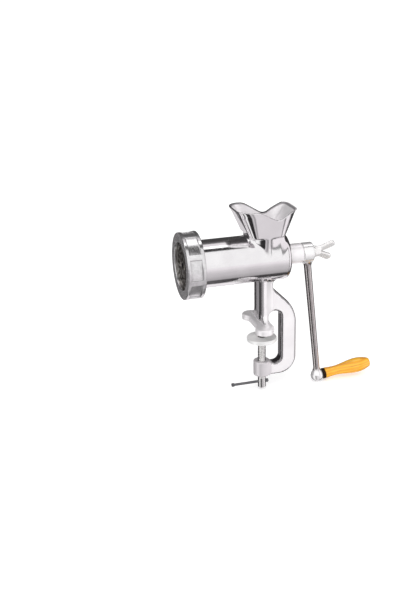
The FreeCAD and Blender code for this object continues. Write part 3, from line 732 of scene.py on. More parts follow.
def finishPiece(piece, body, slot, *nodes, finish=None):
    # gives a piece its material and its body, and hides the nodes that it stands for
    piece.data.materials.clear()
    piece.data.materials.append(materials[finish or slot])
    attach(piece, body)
    if nodes:
        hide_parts(*nodes)
    print("   ", piece.name, len(piece.data.polygons), "faces")


# Body casting

casting = {
    "barrelRadius": 28.5, "front": -97.0, "rear": 30.0, "shoulder": 5.5, "frontEdge": 0.8,
    "collarRoot": 34.2, "collarEnd": -81.0, "collarCove": 2.5, "collarEdge": 1.2,
    "bossRadius": 12.35, "bossEnd": 50.3, "bossFillet": 2.0, "bossEdge": 0.8,
    # bored from the front: the plate's seat, the chamber and the bore, and the bush from the back
    "seatRadius": 31.05, "seatEnd": -90.5, "chamberRadius": 29.0, "chamberEnd": -80.8,
    "boreRadius": 25.0, "boreEnd": 25.0, "bushHole": 10.02, "holeEdge": 0.4, "beyond": 9.0,
    "frameHalf": 7.5, "frameEdge": 3.4,
    "legFront": -4.5, "legBack": 1.5, "legEnd": 11.5, "legHalf": 16.5, "legSlant": 0.82, "legEdge": 1.4,
    "legFootHalf": 28.0, "legKnee": 20.0, "kneeSteepness": 1.7, "legFillet": 3.0,
    "fluteDepth": 1.6, "fluteHalf": 13.0, "fluteFoot": 14.0, "fluteFade": 8.0,
    "jawTop": 7.5, "jawBack": 7.4, "jawFront": -11.0, "jawEdge": 2.0, "soleEdge": 0.8,
    "footRadius": 11.0, "footX": -5.5, "footY": 26.0,
    "screwBoss": 10.5, "screwBossTop": -47.0, "screwBossEdge": 1.2, "screwBossFillet": 2.5,
    "bottom": -66.0, "screwHole": 5.05, "screwHoleTop": -44.0,
    "neckRight": 12.2, "neckRadius": 7.0, "neckHeight": 52.5, "neckArc": (120, 225),
    "spineInner": 23.0, "spineOuter": 43.0, "shoulderTop": 31.5, "shoulderArc": 45,
    "windowTop": 19.0, "windowLeft": 7.4, "windowBottom": -50.0,
    "outerCorner": 22.0, "innerCorner": 8.0,
    # grid lines along X, Y and Z: from where on, and how far apart
    "steps": [[(-97, 1.25), (-40, 1.1)], [(-37, 1.1)], [(-66, 1.3), (96, 1.0), (132, 0.65)]],
}
hopper = {
    # height, half length, half width, corner radius, shift to the crank
    "outside": [
        (97, 19.5, 25.5, 4, 1.5), (118, 21, 26, 8, 1.5), (145, 35, 27.5, 18, 2), (152, 40, 28, 18, 3),
    ],
    "inside": [
        (110, 11, 17, 5, 0), (118, 15, 20, 5, 1.5), (145, 32, 24.5, 14, 2), (152, 37, 25, 14, 3),
    ],
    "soften": 0.9, "mouthEdge": 0.9,
    "rim": 152.0, "fall": 2.2, "highEnd": -37.0, "bevel": 0.3, "rimEdge": 1.1, "rimSteepness": 1.15,
    "dips": [(-1, 42.0, 12.0, 12.0), (1, 48.0, 15.0, 11.0)],    # side, width, depth, shift
    "dipRound": 10.0, "peakSoften": 1.6,
    "keelTop": 118.5, "keelX": 1.5, "keelHalf": 3.3, "keelY": 26.0,
    "keelSlope": 0.36, "keelBend": 0.028, "keelRound": 2.5,
    "filletAt": (4, 16), "fillet": (3.0, 7.0),    # where along the barrel, and its radius there
}
castingTones = {
    # each as (from where on, over how far it fades in), in millimetres
    "offBarrel": (1.0, 2.0), "offRear": (2.0, 2.0), "offJaw": (-4.0, 3.0), "offBoss": (-3.0, 2.0),
    # underRim, inRim and behindLeg place the painted dark reflections
    "inMouth": (-0.8, 0.5), "underRim": (-2.6, 1.0), "inRim": (1.0, 1.0), "behindLeg": (0.0, 3.0),
    "flat": (0.93, 0.05),      # how squarely a face looks to the side
    "margin": 2.0, "jawBottom": -8.0, "jawBack": 10.4, "bossFrom": -40.0, "mouthFrom": 112.0,
}


def frameOutline():
    c = casting
    top = axisHeight - c["boreRadius"] - 1
    neck, neckZ = c["neckRadius"], c["neckHeight"]
    neckX = c["neckRight"] + neck

    def onNeck(degrees):
        angle = math.radians(degrees)
        return neckX + neck * math.cos(angle), neckZ + neck * math.sin(angle)

    high, low = (onNeck(degrees) for degrees in c["neckArc"])
    startX = low[0] + low[1] - c["shoulderTop"]
    shoulder = math.radians(c["shoulderArc"])
    bend = (c["spineOuter"] - startX) / (1 - math.cos(shoulder))
    bendX = c["spineOuter"] - bend
    bendZ = c["shoulderTop"] - bend * math.sin(shoulder)
    big, small = c["outerCorner"], c["innerCorner"]
    arch = (c["spineInner"] - c["windowLeft"]) / 2
    archZ = c["windowTop"] - arch
    left, right, inner, bottom = c["legFront"], c["spineOuter"], c["spineInner"], c["bottom"]
    sill = c["windowBottom"]

    def lines(*points):
        return [("line", a, b) for a, b in zip(points, points[1:])]

    return [
        *lines((left, top), (high[0], top), high),
        ("arc", (neckX, neckZ), neck, *c["neckArc"]),
        *lines(low, (startX, c["shoulderTop"])),
        ("arc", (bendX, bendZ), bend, c["shoulderArc"], 0),
        *lines((right, bendZ), (right, bottom + big)),
        ("arc", (right - big, bottom + big), big, 0, -90),
        *lines((right - big, bottom), (0, bottom), (0, sill), (inner - small, sill)),
        ("arc", (inner - small, sill + small), small, -90, 0),
        *lines((inner, sill + small), (inner, archZ)),
        ("arc", (inner - arch, archZ), arch, 0, 180),
        *lines((c["windowLeft"], archZ), (c["windowLeft"], 0), (left, 0), (left, top)),
    ]


def funnel(x, y, z, levels):
    # rounded rectangle whose size changes with height, with its creases a little softened
    columns = list(zip(*levels))
    soft = hopper["soften"]
    below, here, above = (
        [np.interp(z + shift, columns[0], column) for column in columns[1:]] for shift in (-soft, 0, soft)
    )
    halfX, halfY, corner, lean = (sum(three) / 3 for three in zip(below, here, above))
    slopeX, slopeY = ((high - low) / (2 * soft) for low, high in zip(below[:2], above[:2]))
    overX = np.abs(x - lean) - halfX + corner
    overY = np.abs(y) - halfY + corner
    outX, outY = np.maximum(overX, 0), np.maximum(overY, 0)
    reach = np.hypot(outX, outY)
    flat = reach < 1e-9
    towardsX = np.where(flat, overX > overY, outX / np.where(flat, 1, reach))
    towardsY = np.where(flat, overX <= overY, outY / np.where(flat, 1, reach))
    distance = reach + np.minimum(np.maximum(overX, overY), 0) - corner
    return distance / np.sqrt(1 + (towardsX * slopeX + towardsY * slopeY) ** 2)


def rimHeight(x, y):
    # top of the hopper's walls: it falls a little to the crank, with a round-bottomed V on each side
    h = hopper
    level = h["rim"] - math.tan(math.radians(h["fall"])) * (x - h["highEnd"])
    for side, width, depth, shift in h["dips"]:
        slope = 2 * depth / width
        steep = math.atan(slope)
        lowest = h["rim"] - depth - h["dipRound"] * (1 / math.cos(steep) - 1)
        away = np.abs(x - shift)
        arc = lowest + h["dipRound"] / math.cos(steep)
        arc = arc - np.sqrt(np.maximum(h["dipRound"] ** 2 - away ** 2, 0))
        vee = np.where(away < h["dipRound"] * math.sin(steep), arc, lowest + away * slope)
        lower = (level + vee - np.hypot(level - vee, h["peakSoften"])) / 2
        level = np.where(side * y > 0, lower, level)
    return level


def hopperShell(x, y, z):
    h = hopper
    outside = funnel(x, y, z, h["outside"])
    shell = np.maximum(outside, h["outside"][0][0] - z)
    across = np.abs(x - h["keelX"]) - h["keelHalf"]
    bend = h["keelBend"] * np.maximum(across, 0) * (x < h["keelX"])
    keel = np.abs(y) - h["keelY"] + (h["keelSlope"] + bend) * across
    keel = keel / np.sqrt(1 + (h["keelSlope"] + 2 * bend) ** 2)
    wedge = roundOverlap(-keel, z - h["keelTop"], h["keelRound"])
    shell = roundCut(shell, wedge, h["keelRound"] / 2)
    # the slopes of the dips make this field steeper than a distance
    top = (z - rimHeight(x, y) - h["bevel"] * outside) / h["rimSteepness"]
    return roundOverlap(shell, top, h["rimEdge"])


frameLines = frameOutline()


def legField(x, y, z):
    c = casting
    web = roundOverlap(outline(frameLines, x, z), np.abs(y) - c["frameHalf"], c["frameEdge"])
    knee = np.clip((c["legKnee"] - z) / (c["legKnee"] - c["jawTop"] + 1), 0, 1)
    half = c["legHalf"] + (c["legFootHalf"] - c["legHalf"]) * knee ** 2
    slant = c["legSlant"] * np.maximum(x - c["legBack"] + 1, 0)
    steepness = 1 + c["legSlant"] ** 2 * (slant > 0) + (c["kneeSteepness"] * knee) ** 2
    skin = (np.abs(y) - half + slant) / np.sqrt(steepness)
    above = smooth((z - c["fluteFoot"]) / c["fluteFade"])
    flute = c["fluteDepth"] * np.maximum(1 - (y / c["fluteHalf"]) ** 2, 0) * above
    back = c["legBack"] + (c["legEnd"] - c["legBack"]) * above
    skin = roundOverlap(skin, np.maximum(c["legFront"] + flute - x, x - back), c["legEdge"])
    skin = np.maximum(skin, slab(z, c["jawTop"] - 2, axisHeight - c["barrelRadius"] / 2))
    leg = roundUnion(web, skin, c["legFillet"])
    plan = np.maximum(slab(x, c["jawFront"], c["jawBack"]), np.abs(y) - c["footY"])
    feet = np.hypot(x - c["footX"], np.abs(y) - c["footY"]) - c["footRadius"]
    plan = roundUnion(plan, feet, c["legFillet"])
    jaw = roundOverlap(roundOverlap(plan, z - c["jawTop"], c["jawEdge"]), -z, c["soleEdge"])
    leg = roundUnion(leg, jaw, c["jawEdge"])
    boss = np.hypot(x, y) - c["screwBoss"]
    boss = roundOverlap(boss, slab(z, c["bottom"], c["screwBossTop"]), c["screwBossEdge"])
    return np.maximum(roundUnion(leg, boss, c["screwBossFillet"]), c["bottom"] - z)


def castingField(x, y, z):
    c = casting
    ring = np.hypot(y, z - axisHeight)
    solid = roundOverlap(ring - c["barrelRadius"], x - c["rear"], c["shoulder"])
    collar = roundOverlap(ring - c["collarRoot"], x - c["collarEnd"], c["collarEdge"])
    solid = roundUnion(solid, collar, c["collarCove"])
    boss = roundOverlap(ring - c["bossRadius"], slab(x, 0, c["bossEnd"]), c["bossEdge"])
    solid = roundUnion(solid, boss, c["bossFillet"])
    solid = roundOverlap(solid, c["front"] - x, c["frontEdge"])
    solid = roundUnion(solid, legField(x, y, z), c["legFillet"])
    fillet = np.interp(x, hopper["filletAt"], hopper["fillet"])
    solid = roundUnion(solid, hopperShell(x, y, z), fillet)
    inner = np.maximum(funnel(x, y, z, hopper["inside"]), axisHeight - z)
    solid = roundCut(solid, inner, hopper["mouthEdge"])
    start = c["front"] - c["beyond"]
    for radius, low, high in (
        (c["seatRadius"], start, c["seatEnd"]),
        (c["chamberRadius"], start, c["chamberEnd"]),
        (c["boreRadius"], start, c["boreEnd"]),
        (c["bushHole"], 0, c["bossEnd"] + c["beyond"]),
    ):
        solid = roundCut(solid, np.maximum(ring - radius, slab(x, low, high)), c["holeEdge"])
    hole = np.maximum(np.hypot(x, y) - c["screwHole"], z - c["screwHoleTop"])
    return roundCut(solid, hole, c["holeEdge"])


def castingFinish(points, normals):
    # from 0 to 1: where the casting is brushed and not polished, where painted shade darkens it, and
    # where a painted dark reflection lies
    c, tones = casting, castingTones
    x, y, z = points.T

    def fade(key, value):
        start, length = tones[key]
        return smooth((value - start) / length)

    lower = fade("offBarrel", np.hypot(y, z - axisHeight) - c["barrelRadius"])
    lower = lower * (z < axisHeight) * (x > c["front"] / 2)
    flat = fade("flat", np.abs(normals[:, 1]))
    behind = x > c["legFront"] + tones["margin"]
    slanted = (x < c["legEnd"] + tones["margin"]) * behind * (z > c["jawTop"])
    jaw = fade("offJaw", c["jawTop"] - z) * (z > tones["jawBottom"]) * (x < tones["jawBack"])
    boss = fade("offBoss", c["screwBoss"] - np.hypot(x, y)) * (z < tones["bossFrom"])
    brushed = lower * np.maximum.reduce([flat * behind, slanted, jaw, boss])
    within = fade("inMouth", -funnel(x, y, z, hopper["inside"])) * (z > tones["mouthFrom"])
    rear = fade("offRear", x - c["rear"])
    # painted dark reflections: a line along the frame's rounded edges, and a strip under the rim inside
    # the hopper
    line = lower * (1 - flat) * fade("behindLeg", x - c["legEnd"]) * (1 - boss) * (1 - jaw)
    strip = fade("underRim", z - rimHeight(x, y)) * fade("inRim", -funnel(x, y, z, hopper["outside"]))
    return {
        # painted shade on the screw boss
        "brushed": np.maximum.reduce([brushed, within, rear]), "dull": boss * lower,
        "edge": np.maximum(line, strip),
    }


def makeCasting():
    corners = spot("body_casting")
    piece = fieldMesh("casting_shell", castingField, *corners, casting["steps"], paint=castingFinish)
    finishPiece(piece, "root", "polished_casting", "body_casting")


# Ring nut

nut = {
    "radius": 40.0, "mouth": 28.8, "seat": 36.2, "lip": 3.5, "edge": 1.2, "seatEdge": 0.4, "step": 0.8,
    "pockets": 8, "pocketTurn": 8.0, "pocketWidth": 24.0, "pocketFloor": 37.7, "floorRadius": 84.0,
    "frontRim": 4.0, "backRim": 4.5, "pocketEdge": 0.6,
}


def nutField(x, y, z):
    n = nut
    front, back = (corner.x for corner in spot("ring_nut"))
    up = z - axisHeight
    ring = np.hypot(y, up)
    solid = roundOverlap(ring - n["radius"], slab(x, front, back), n["edge"])
    part = 2 * math.pi / n["pockets"]
    turn = (np.arctan2(y, up) - math.radians(n["pocketTurn"]) + part / 2) % part - part / 2
    across, out = ring * np.sin(turn), ring * np.cos(turn)
    sides = np.abs(across) - n["pocketWidth"] / 2
    pocket = roundOverlap(
        n["pocketFloor"] - across ** 2 / (2 * n["floorRadius"]) - out,
        np.maximum(sides, slab(x, front + n["frontRim"], back - n["backRim"])),
        n["pocketEdge"],
    )
    solid = roundCut(solid, pocket, n["pocketEdge"])
    solid = roundCut(solid, ring - n["mouth"], n["edge"])
    seat = np.maximum(ring - n["seat"], front + n["lip"] - x)
    return roundCut(solid, seat, n["seatEdge"])


def makeNut():
    piece = fieldMesh("outlet_nut", nutField, *spot("ring_nut"), nut["step"])
    finishPiece(piece, "nut", "nut_casting", "ring_nut")


# Crank

crank = {
    "hubRadius": 12.35, "hubEdge": 1.4, "gap": 0.2, "armTop": 4.7, "armBottom": 3.9, "lean": 6.0,
    "ball": 8.2, "ballFlat": 7.0, "hubFillet": 5.0, "ballFillet": 4.0, "flatEdge": 0.5,
    "axleHole": 3.02, "axleInset": 4.0, "squareHalf": 5.55, "holeEdge": 0.3, "step": 0.7,
    "hubFade": 2.0, "ballFade": 4.0,    # over how far the brighter plating ends
}
hubStart = bushHigh.x + crank["gap"]
hubEnd = spot("crank_washer")[0].x
hubMiddle = np.array([(hubStart + hubEnd) / 2, 0, axisHeight])
pinHeight = spot("crank_arm")[0].z + crank["ball"]
pinAway = (axisHeight - pinHeight) * math.tan(math.radians(crank["lean"]))
pinPoint = np.array([hubMiddle[0] + pinAway, 0, pinHeight])
gripTilt = math.radians(grip["tilt"])
gripAxis = np.array([math.cos(gripTilt), 0, math.sin(gripTilt)])


def crankField(x, y, z):
    k = crank
    ring = np.hypot(y, z - axisHeight)
    hub = roundOverlap(ring - k["hubRadius"], slab(x, hubStart, hubEnd), k["hubEdge"])
    arm = bar((x, y, z), hubMiddle, pinPoint, k["armTop"], k["armBottom"])
    solid = roundUnion(hub, arm, k["hubFillet"])
    solid = np.maximum(solid, hubStart - x)
    dx, dz = x - pinPoint[0], z - pinPoint[2]
    solid = roundUnion(solid, np.sqrt(dx ** 2 + y ** 2 + dz ** 2) - k["ball"], k["ballFillet"])
    # the grip's axis: how far along it from the middle of the ball, and how far from it
    along = dx * gripAxis[0] + dz * gripAxis[2]
    away = np.hypot(y, dz * gripAxis[0] - dx * gripAxis[2])
    nearBall = dz - 2 * k["ball"]
    solid = roundCut(solid, np.maximum(k["ballFlat"] - along, nearBall), k["flatEdge"])
    hole = np.maximum(away - k["axleHole"], -k["axleInset"] - along)
    solid = roundCut(solid, np.maximum(hole, nearBall), k["holeEdge"])
    square = np.maximum(np.abs(y), np.abs(z - axisHeight)) - k["squareHalf"]
    return roundCut(solid, square, k["holeEdge"])


def crankFinish(points, normals):
    # the hub and the ball are plated brighter than the arm
    k = crank
    x, y, z = points.T
    hub = smooth((k["hubRadius"] - np.hypot(y, z - axisHeight)) / k["hubFade"] + 1)
    ball = smooth((pinPoint[2] + k["ball"] - z) / k["ballFade"] + 0.5)
    return {"brushed": np.maximum(hub, ball)}


def makeCrank():
    piece = fieldMesh("crank_handle", crankField, *spot("crank_arm"), crank["step"], paint=crankFinish)
    finishPiece(piece, "drive", "crank_steel", "crank_arm")


# Thumb screw

thumb = {
    "hubRadius": 7.5, "hubTip": 6.0, "hubLength": 9.0, "hubEdge": 1.5, "studRadius": 4.0, "step": 0.55,
    "neckInset": 0.7, "neckRun": (-1.0, 3.0), "neckFillet": 0.2,
    "rootAlong": 4.5, "rootHeight": 1.5, "rootRadius": 4.0, "tipRadius": 4.6,
    "wingLength": 26.0, "wingReach": 11.0, "wingStart": 0.8, "wingEdge": 1.7, "wingFillet": 2.5,
    "thickness": 4.4, "turn": 30.0,
}


def thumbField(x, y, z):
    t = thumb
    seat = spot("crank_washer")[1].x
    up = z - axisHeight
    ring = np.hypot(y, up)
    share = np.clip((x - seat) / t["hubLength"], 0, 1)
    hub = ring - t["hubRadius"] - (t["hubTip"] - t["hubRadius"]) * share
    hub = roundOverlap(hub, slab(x, seat, seat + t["hubLength"]), t["hubEdge"])
    turn = math.radians(t["turn"])
    high = np.abs(up * math.cos(turn) - y * math.sin(turn))
    across = y * math.cos(turn) + up * math.sin(turn)
    # each wing is a tapered leaf from inside the hub to its round tip
    root = (seat + t["rootAlong"], t["rootHeight"])
    tip = (seat + t["wingLength"] - t["tipRadius"], t["wingReach"])
    leaf = bar((x, high), root, tip, t["rootRadius"], t["tipRadius"])
    wings = roundOverlap(leaf, np.abs(across) - t["thickness"] / 2, t["wingEdge"])
    wings = np.maximum(wings, seat + t["wingStart"] - x)
    solid = np.maximum(roundUnion(hub, wings, t["wingFillet"]), seat - x)
    start, end = t["neckRun"]
    neck = np.maximum(ring - t["studRadius"] + t["neckInset"], slab(x, seat + start, seat + end))
    return roundUnion(solid, neck, t["neckFillet"])


def makeThumb():
    low, high = spot("thumb_screw")
    low.x = spot("crank_washer")[0].x
    piece = fieldMesh("wing_screw", thumbField, low, high, thumb["step"])
    finishPiece(piece, "thumb_screw", "plated_steel", "thumb_screw", finish="wing_plating")


# Turned pieces

def rounded(corners, steps):
    # profile points from corners (along, radius, rounding), with an arc at each rounded one
    points = []
    for index, (along, radius, rounding) in enumerate(corners):
        here = np.array([along, radius], float)
        if not rounding:
            points.append(here)
            continue
        before = np.array(corners[index - 1][:2], float) - here
        after = np.array(corners[(index + 1) % len(corners)][:2], float) - here
        before /= np.linalg.norm(before)
        after /= np.linalg.norm(after)
        half = math.acos(np.clip(before @ after, -1, 1)) / 2
        back = rounding / math.tan(half)
        centre = here + (before + after) / np.linalg.norm(before + after) * rounding / math.sin(half)
        first, last = here + before * back - centre, here + after * back - centre
        sweep = math.pi - 2 * half
        for share in np.arange(steps + 1) / steps:
            mixed = math.sin((1 - share) * sweep) * first + math.sin(share * sweep) * last
            points.append(centre + mixed / math.sin(sweep))
    return points


def lathe(name, profile, origin, axis, sides=96):
    # turned piece from a closed profile of (along, radius)
    axis = Vector(axis).normalized()
    side = axis.orthogonal().normalized()
    other = axis.cross(side)
    axis, side, other, origin = (np.array(v) for v in (axis, side, other, Vector(origin)))
    angles = np.arange(sides) * 2 * math.pi / sides
    spokes = np.outer(np.cos(angles), side) + np.outer(np.sin(angles), other)
    points = np.concatenate([origin + axis * along + spokes * radius for along, radius in profile])
    faces = []
    for first in range(0, len(points), sides):
        second = (first + sides) % len(points)
        for k in range(sides):
            after = (k + 1) % sides
            faces.append((first + k, second + k, second + after, first + after))
    mesh = bpy.data.meshes.new(name)
    mesh.from_pydata([tuple(p * mm) for p in points], [], faces)
    return faceOutwards(addObject(name, mesh))


def faceOutwards(piece, crease=32):
    # a closed mesh with a negative volume is inside out
    mesh = piece.data
    mesh.validate()
    mesh.calc_loop_triangles()
    places = np.array([vertex.co for vertex in mesh.vertices])
    a, b, c = places[np.array([triangle.vertices for triangle in mesh.loop_triangles])].transpose(1, 0, 2)
    if (a * np.cross(b, c)).sum() < 0:
        mesh.flip_normals()
    mesh.shade_smooth()
    mesh.set_sharp_from_angle(angle=math.radians(crease))
    return piece


def gripProfile(count=60):
    # smooth curve through the grip's girths, by a natural cubic spline
    xs, rs = (np.array(column) for column in zip(*grip["shape"]))
    gaps = np.diff(xs)
    rises = np.diff(rs) / gaps
    system = np.eye(len(xs))
    right = np.zeros(len(xs))
    for i in range(1, len(gaps)):
        system[i, i - 1:i + 2] = gaps[i - 1], 2 * (gaps[i - 1] + gaps[i]), gaps[i]
        right[i] = 6 * (rises[i] - rises[i - 1])
    curve = np.linalg.solve(system, right)
    points = []
    for along in np.linspace(xs[0], xs[-1], count):
        i = min(np.searchsorted(xs, along, side="right"), len(gaps)) - 1
        a, b, gap = xs[i + 1] - along, along - xs[i], gaps[i]
        radius = (curve[i] * a ** 3 + curve[i + 1] * b ** 3) / (6 * gap)
        radius += (rs[i] / gap - curve[i] * gap / 6) * a
        radius += (rs[i + 1] / gap - curve[i + 1] * gap / 6) * b
        points.append((along, radius))
    return points


def makeGrip():
    g = grip
    profile = gripProfile()
    start, end, edge, bore = g["start"], g["end"], g["round"], g["bore"]
    outer = [(start + along * edge, profile[0][1] - under * edge) for along, under in g["startRound"]]
    outer += [(along, radius) for along, radius in profile if start + edge < along < end - edge]
    outer += [(end - along * edge, profile[-1][1] - under * edge) for along, under in g["endRound"]]
    inner = [(end, g["recess"]), (g["recessAt"], g["recess"]), (g["recessAt"], bore), (start, bore)]
    piece = lathe("wooden_handle", outer + inner, pinPoint, gripAxis)
    finishPiece(piece, "grip", "lacquered_wood", "wooden_grip")
    low, high = g["ferrule"]
    radius, edge = g["ferruleRadius"], g["ferruleEdge"]
    groove = [(low + along, radius - depth, g["grooveEdge"]) for along, depth in g["groove"]]
    corners = [(low, bore, 0), (low, radius, edge), *groove, (high, radius, edge), (high, bore, 0)]
    piece = lathe("handle_ferrule", rounded(corners, 4), pinPoint, gripAxis)
    finishPiece(piece, "grip", "dark_ferrule", "grip_ferrule")


# Threads and the perforated plate, by Geometry Nodes

def newTree(name, inputs):
    # a geometry tree that ends in a material, with short names for its nodes and sums
    inputs = {**inputs, "Start": (0.0, 0.0, 0.0), "Material": None}
    tree, given, result = newGroup(
        name, "GeometryNodeTree", inputs, "Geometry", outputKind="NodeSocketGeometry"
    )

    def node(kind, settings=None, **values):
        return addNode(tree, kind, settings, **values)[0]

    def sums(operation, *values):
        return maths(tree, operation, *values)

    def close(shape, turn):
        # turned, put in its place and made metres
        shape = node("GeometryNodeTransform", Geometry=shape, Rotation=turn, Translation=given["Start"])
        shape = node("GeometryNodeTransform", Geometry=shape, Scale=(mm, mm, mm))
        shape = node("GeometryNodeRealizeInstances", Geometry=shape)
        shape = node("GeometryNodeSetMaterial", Geometry=shape, Material=given["Material"])
        fill(tree, result, Geometry=shape)
        return tree

    return tree, given, node, sums, close


def threadTree(flat=0.12, tiny=0.001):
    # rod or sleeve along X, from a flat sheet rolled up: with a thread cut into its round side
    tree, given, node, sums, close = newTree(
        "threadedRod",
        {
            "Turn": (0.0, 0.0, 0.0), "Length": 20.0, "Crest": 4.0, "Bore": 0.0, "Depth": 0.5,
            "Pitch": 1.5, "Chamfer": 1.0, "Thread From": -10.0, "Cross Hole": 0.0, "Cross Hole At": 0.0,
            "Sides": 48, "Rows": 100,
        },
    )
    sheet = node(
        "GeometryNodeMeshGrid", Size_X=1.0, Size_Y=1.0, Vertices_Y=given["Rows"],
        Vertices_X=sums("ADD", given["Sides"], 1),
    )
    across, up, _ = addNode(tree, "ShaderNodeSeparateXYZ", at0=node("GeometryNodeInputPosition"))
    turn = sums("ADD", across, 0.5)
    # rows: the first and the last two are the ends of the rod, or the plain side of the sleeve
    row = sums("MULTIPLY", sums("ADD", up, 0.5), sums("SUBTRACT", given["Rows"], 1))
    last = sums("SUBTRACT", given["Rows"], 4)
    share = sums("DIVIDE", sums("SUBTRACT", row, 1), last)
    share = sums("MINIMUM", sums("MAXIMUM", share, 0.0), 1.0)
    closing = sums("GREATER_THAN", row, sums("SUBTRACT", given["Rows"], 1.5))
    hollow = sums("GREATER_THAN", given["Bore"], tiny)
    share = sums("MULTIPLY", share, sums("SUBTRACT", 1.0, sums("MULTIPLY", closing, hollow)))
    along = sums("MULTIPLY", share, given["Length"])
    beforeEnd = sums("LESS_THAN", row, sums("ADD", last, 1.5))
    onSide = sums("MULTIPLY", sums("GREATER_THAN", row, 0.5), beforeEnd)
    # depth of the cut: a saw wave round and along, less towards the ends and the plain part
    phase = sums("FRACT", sums("SUBTRACT", sums("DIVIDE", along, given["Pitch"]), turn))
    tooth = sums("ABSOLUTE", sums("MULTIPLY_ADD", phase, 2.0, -1.0))
    tooth = spread(tree, tooth, flat, 1 - flat)
    fromEnd = sums("MINIMUM", along, sums("SUBTRACT", given["Length"], along))
    past = sums("SUBTRACT", along, given["Thread From"])
    fade = sums("MULTIPLY", *(spread(tree, far, 0.0, given["Pitch"]) for far in (fromEnd, past)))
    cut = sums("MULTIPLY", sums("MULTIPLY", tooth, fade), given["Depth"])
    cut = sums("MAXIMUM", cut, sums("SUBTRACT", given["Chamfer"], fromEnd))
    outwards = sums("SIGN", sums("SUBTRACT", given["Crest"], given["Bore"]))
    radius = sums("SUBTRACT", given["Crest"], sums("MULTIPLY", cut, outwards))
    radius = mixNumber(tree, onSide, given["Bore"], radius)
    angle = sums("MULTIPLY", turn, 2 * math.pi)
    beside, above = (sums("MULTIPLY", radius, sums(wave, angle)) for wave in ("COSINE", "SINE"))
    rolled = node("ShaderNodeCombineXYZ", X=along, Y=beside, Z=above)
    shape = node("GeometryNodeSetPosition", Geometry=sheet, Position=rolled)
    shape = node("GeometryNodeMergeByDistance", Geometry=shape, Distance=tiny)
    long = sums("MULTIPLY", given["Crest"], 3.0)
    drill = node("GeometryNodeMeshCylinder", Vertices=32, Radius=given["Cross Hole"], Depth=long)
    place = node("ShaderNodeCombineXYZ", X=given["Cross Hole At"])
    drill = node("GeometryNodeTransform", Geometry=drill, Translation=place)
    bored = node("GeometryNodeMeshBoolean", {"operation": "DIFFERENCE"}, Mesh_1=shape, Mesh_2=[drill])
    drilled = sums("GREATER_THAN", given["Cross Hole"], tiny)
    shape = node("GeometryNodeSwitch", {"input_type": "GEOMETRY"}, Switch=drilled, at1=shape, at2=bored)
    return close(shape, given["Turn"])


def plateTree(ringCount=3, beyond=2.0):
    # round plate across X with rings of drilled and countersunk holes, a middle hole and a notch
    tree, given, node, sums, close = newTree(
        "perforatedPlate",
        {
            "Thickness": 7.0, "Radius": 31.0, "Chamfer": 0.5, "First Ring": 9.0, "Ring Gap": 6.0,
            "First Count": 8, "More Each Ring": 6, "Hole": 2.5, "Middle Hole": 4.0, "Sink": 0.4,
            "Notch": 2.0,
        },
    )

    def drum(radius, depth, flare, sides, rows=18):
        # upright drum whose two rims are wider or narrower than the rest
        kind = "GeometryNodeMeshCylinder"
        body = node(kind, Vertices=sides, Side_Segments=rows, Radius=radius, Depth=depth)
        place = node("GeometryNodeInputPosition")
        height = addNode(tree, "ShaderNodeSeparateXYZ", at0=place)[2]
        straight = sums("SUBTRACT", sums("MULTIPLY", given["Thickness"], 0.5), sums("ABSOLUTE", flare))
        past = sums("MAXIMUM", sums("SUBTRACT", sums("ABSOLUTE", height), straight), 0.0)
        grown = sums("ADD", 1.0, sums("DIVIDE", sums("MULTIPLY", past, sums("SIGN", flare)), radius))
        wide = node("ShaderNodeCombineXYZ", X=grown, Y=grown, Z=1.0)
        place = vectorMaths(tree, "MULTIPLY", place, wide)
        return node("GeometryNodeSetPosition", Geometry=body, Position=place)

    depth = sums("ADD", given["Thickness"], beyond)
    drill = drum(given["Hole"], depth, given["Sink"], 20)
    cuts = [drum(given["Middle Hole"], depth, given["Sink"], 32)]
    # each ring has more holes than the one inside it, and is turned by half a step
    for ring in range(ringCount):
        radius = sums("MULTIPLY_ADD", given["Ring Gap"], float(ring), given["First Ring"])
        count = sums("MULTIPLY_ADD", given["More Each Ring"], float(ring), given["First Count"])
        circle = node("GeometryNodeMeshCircle", Vertices=count, Radius=radius)
        turned = node("ShaderNodeCombineXYZ", Z=sums("DIVIDE", math.pi * ring, count))
        circle = node("GeometryNodeTransform", Geometry=circle, Rotation=turned)
        holes = node("GeometryNodeInstanceOnPoints", Points=circle, Instance=drill)
        cuts.append(node("GeometryNodeRealizeInstances", Geometry=holes))
    notch = node("GeometryNodeMeshCylinder", Vertices=24, Radius=given["Notch"], Depth=depth)
    edge = node("ShaderNodeCombineXYZ", X=sums("MULTIPLY", given["Radius"], -1.0))
    cuts.append(node("GeometryNodeTransform", Geometry=notch, Translation=edge))
    disc = drum(given["Radius"], given["Thickness"], sums("MULTIPLY", given["Chamfer"], -1.0), 128, 14)
    shape = node("GeometryNodeMeshBoolean", {"operation": "DIFFERENCE"}, Mesh_1=disc, Mesh_2=cuts)
    # the plate's first spoke points up, and its axis lies along X
    shape = node("GeometryNodeTransform", Geometry=shape, Rotation=(0, -math.pi / 2, 0))
    middle = node("ShaderNodeCombineXYZ", X=sums("MULTIPLY", given["Thickness"], 0.5))
    return close(node("GeometryNodeTransform", Geometry=shape, Translation=middle), (0, 0, 0))


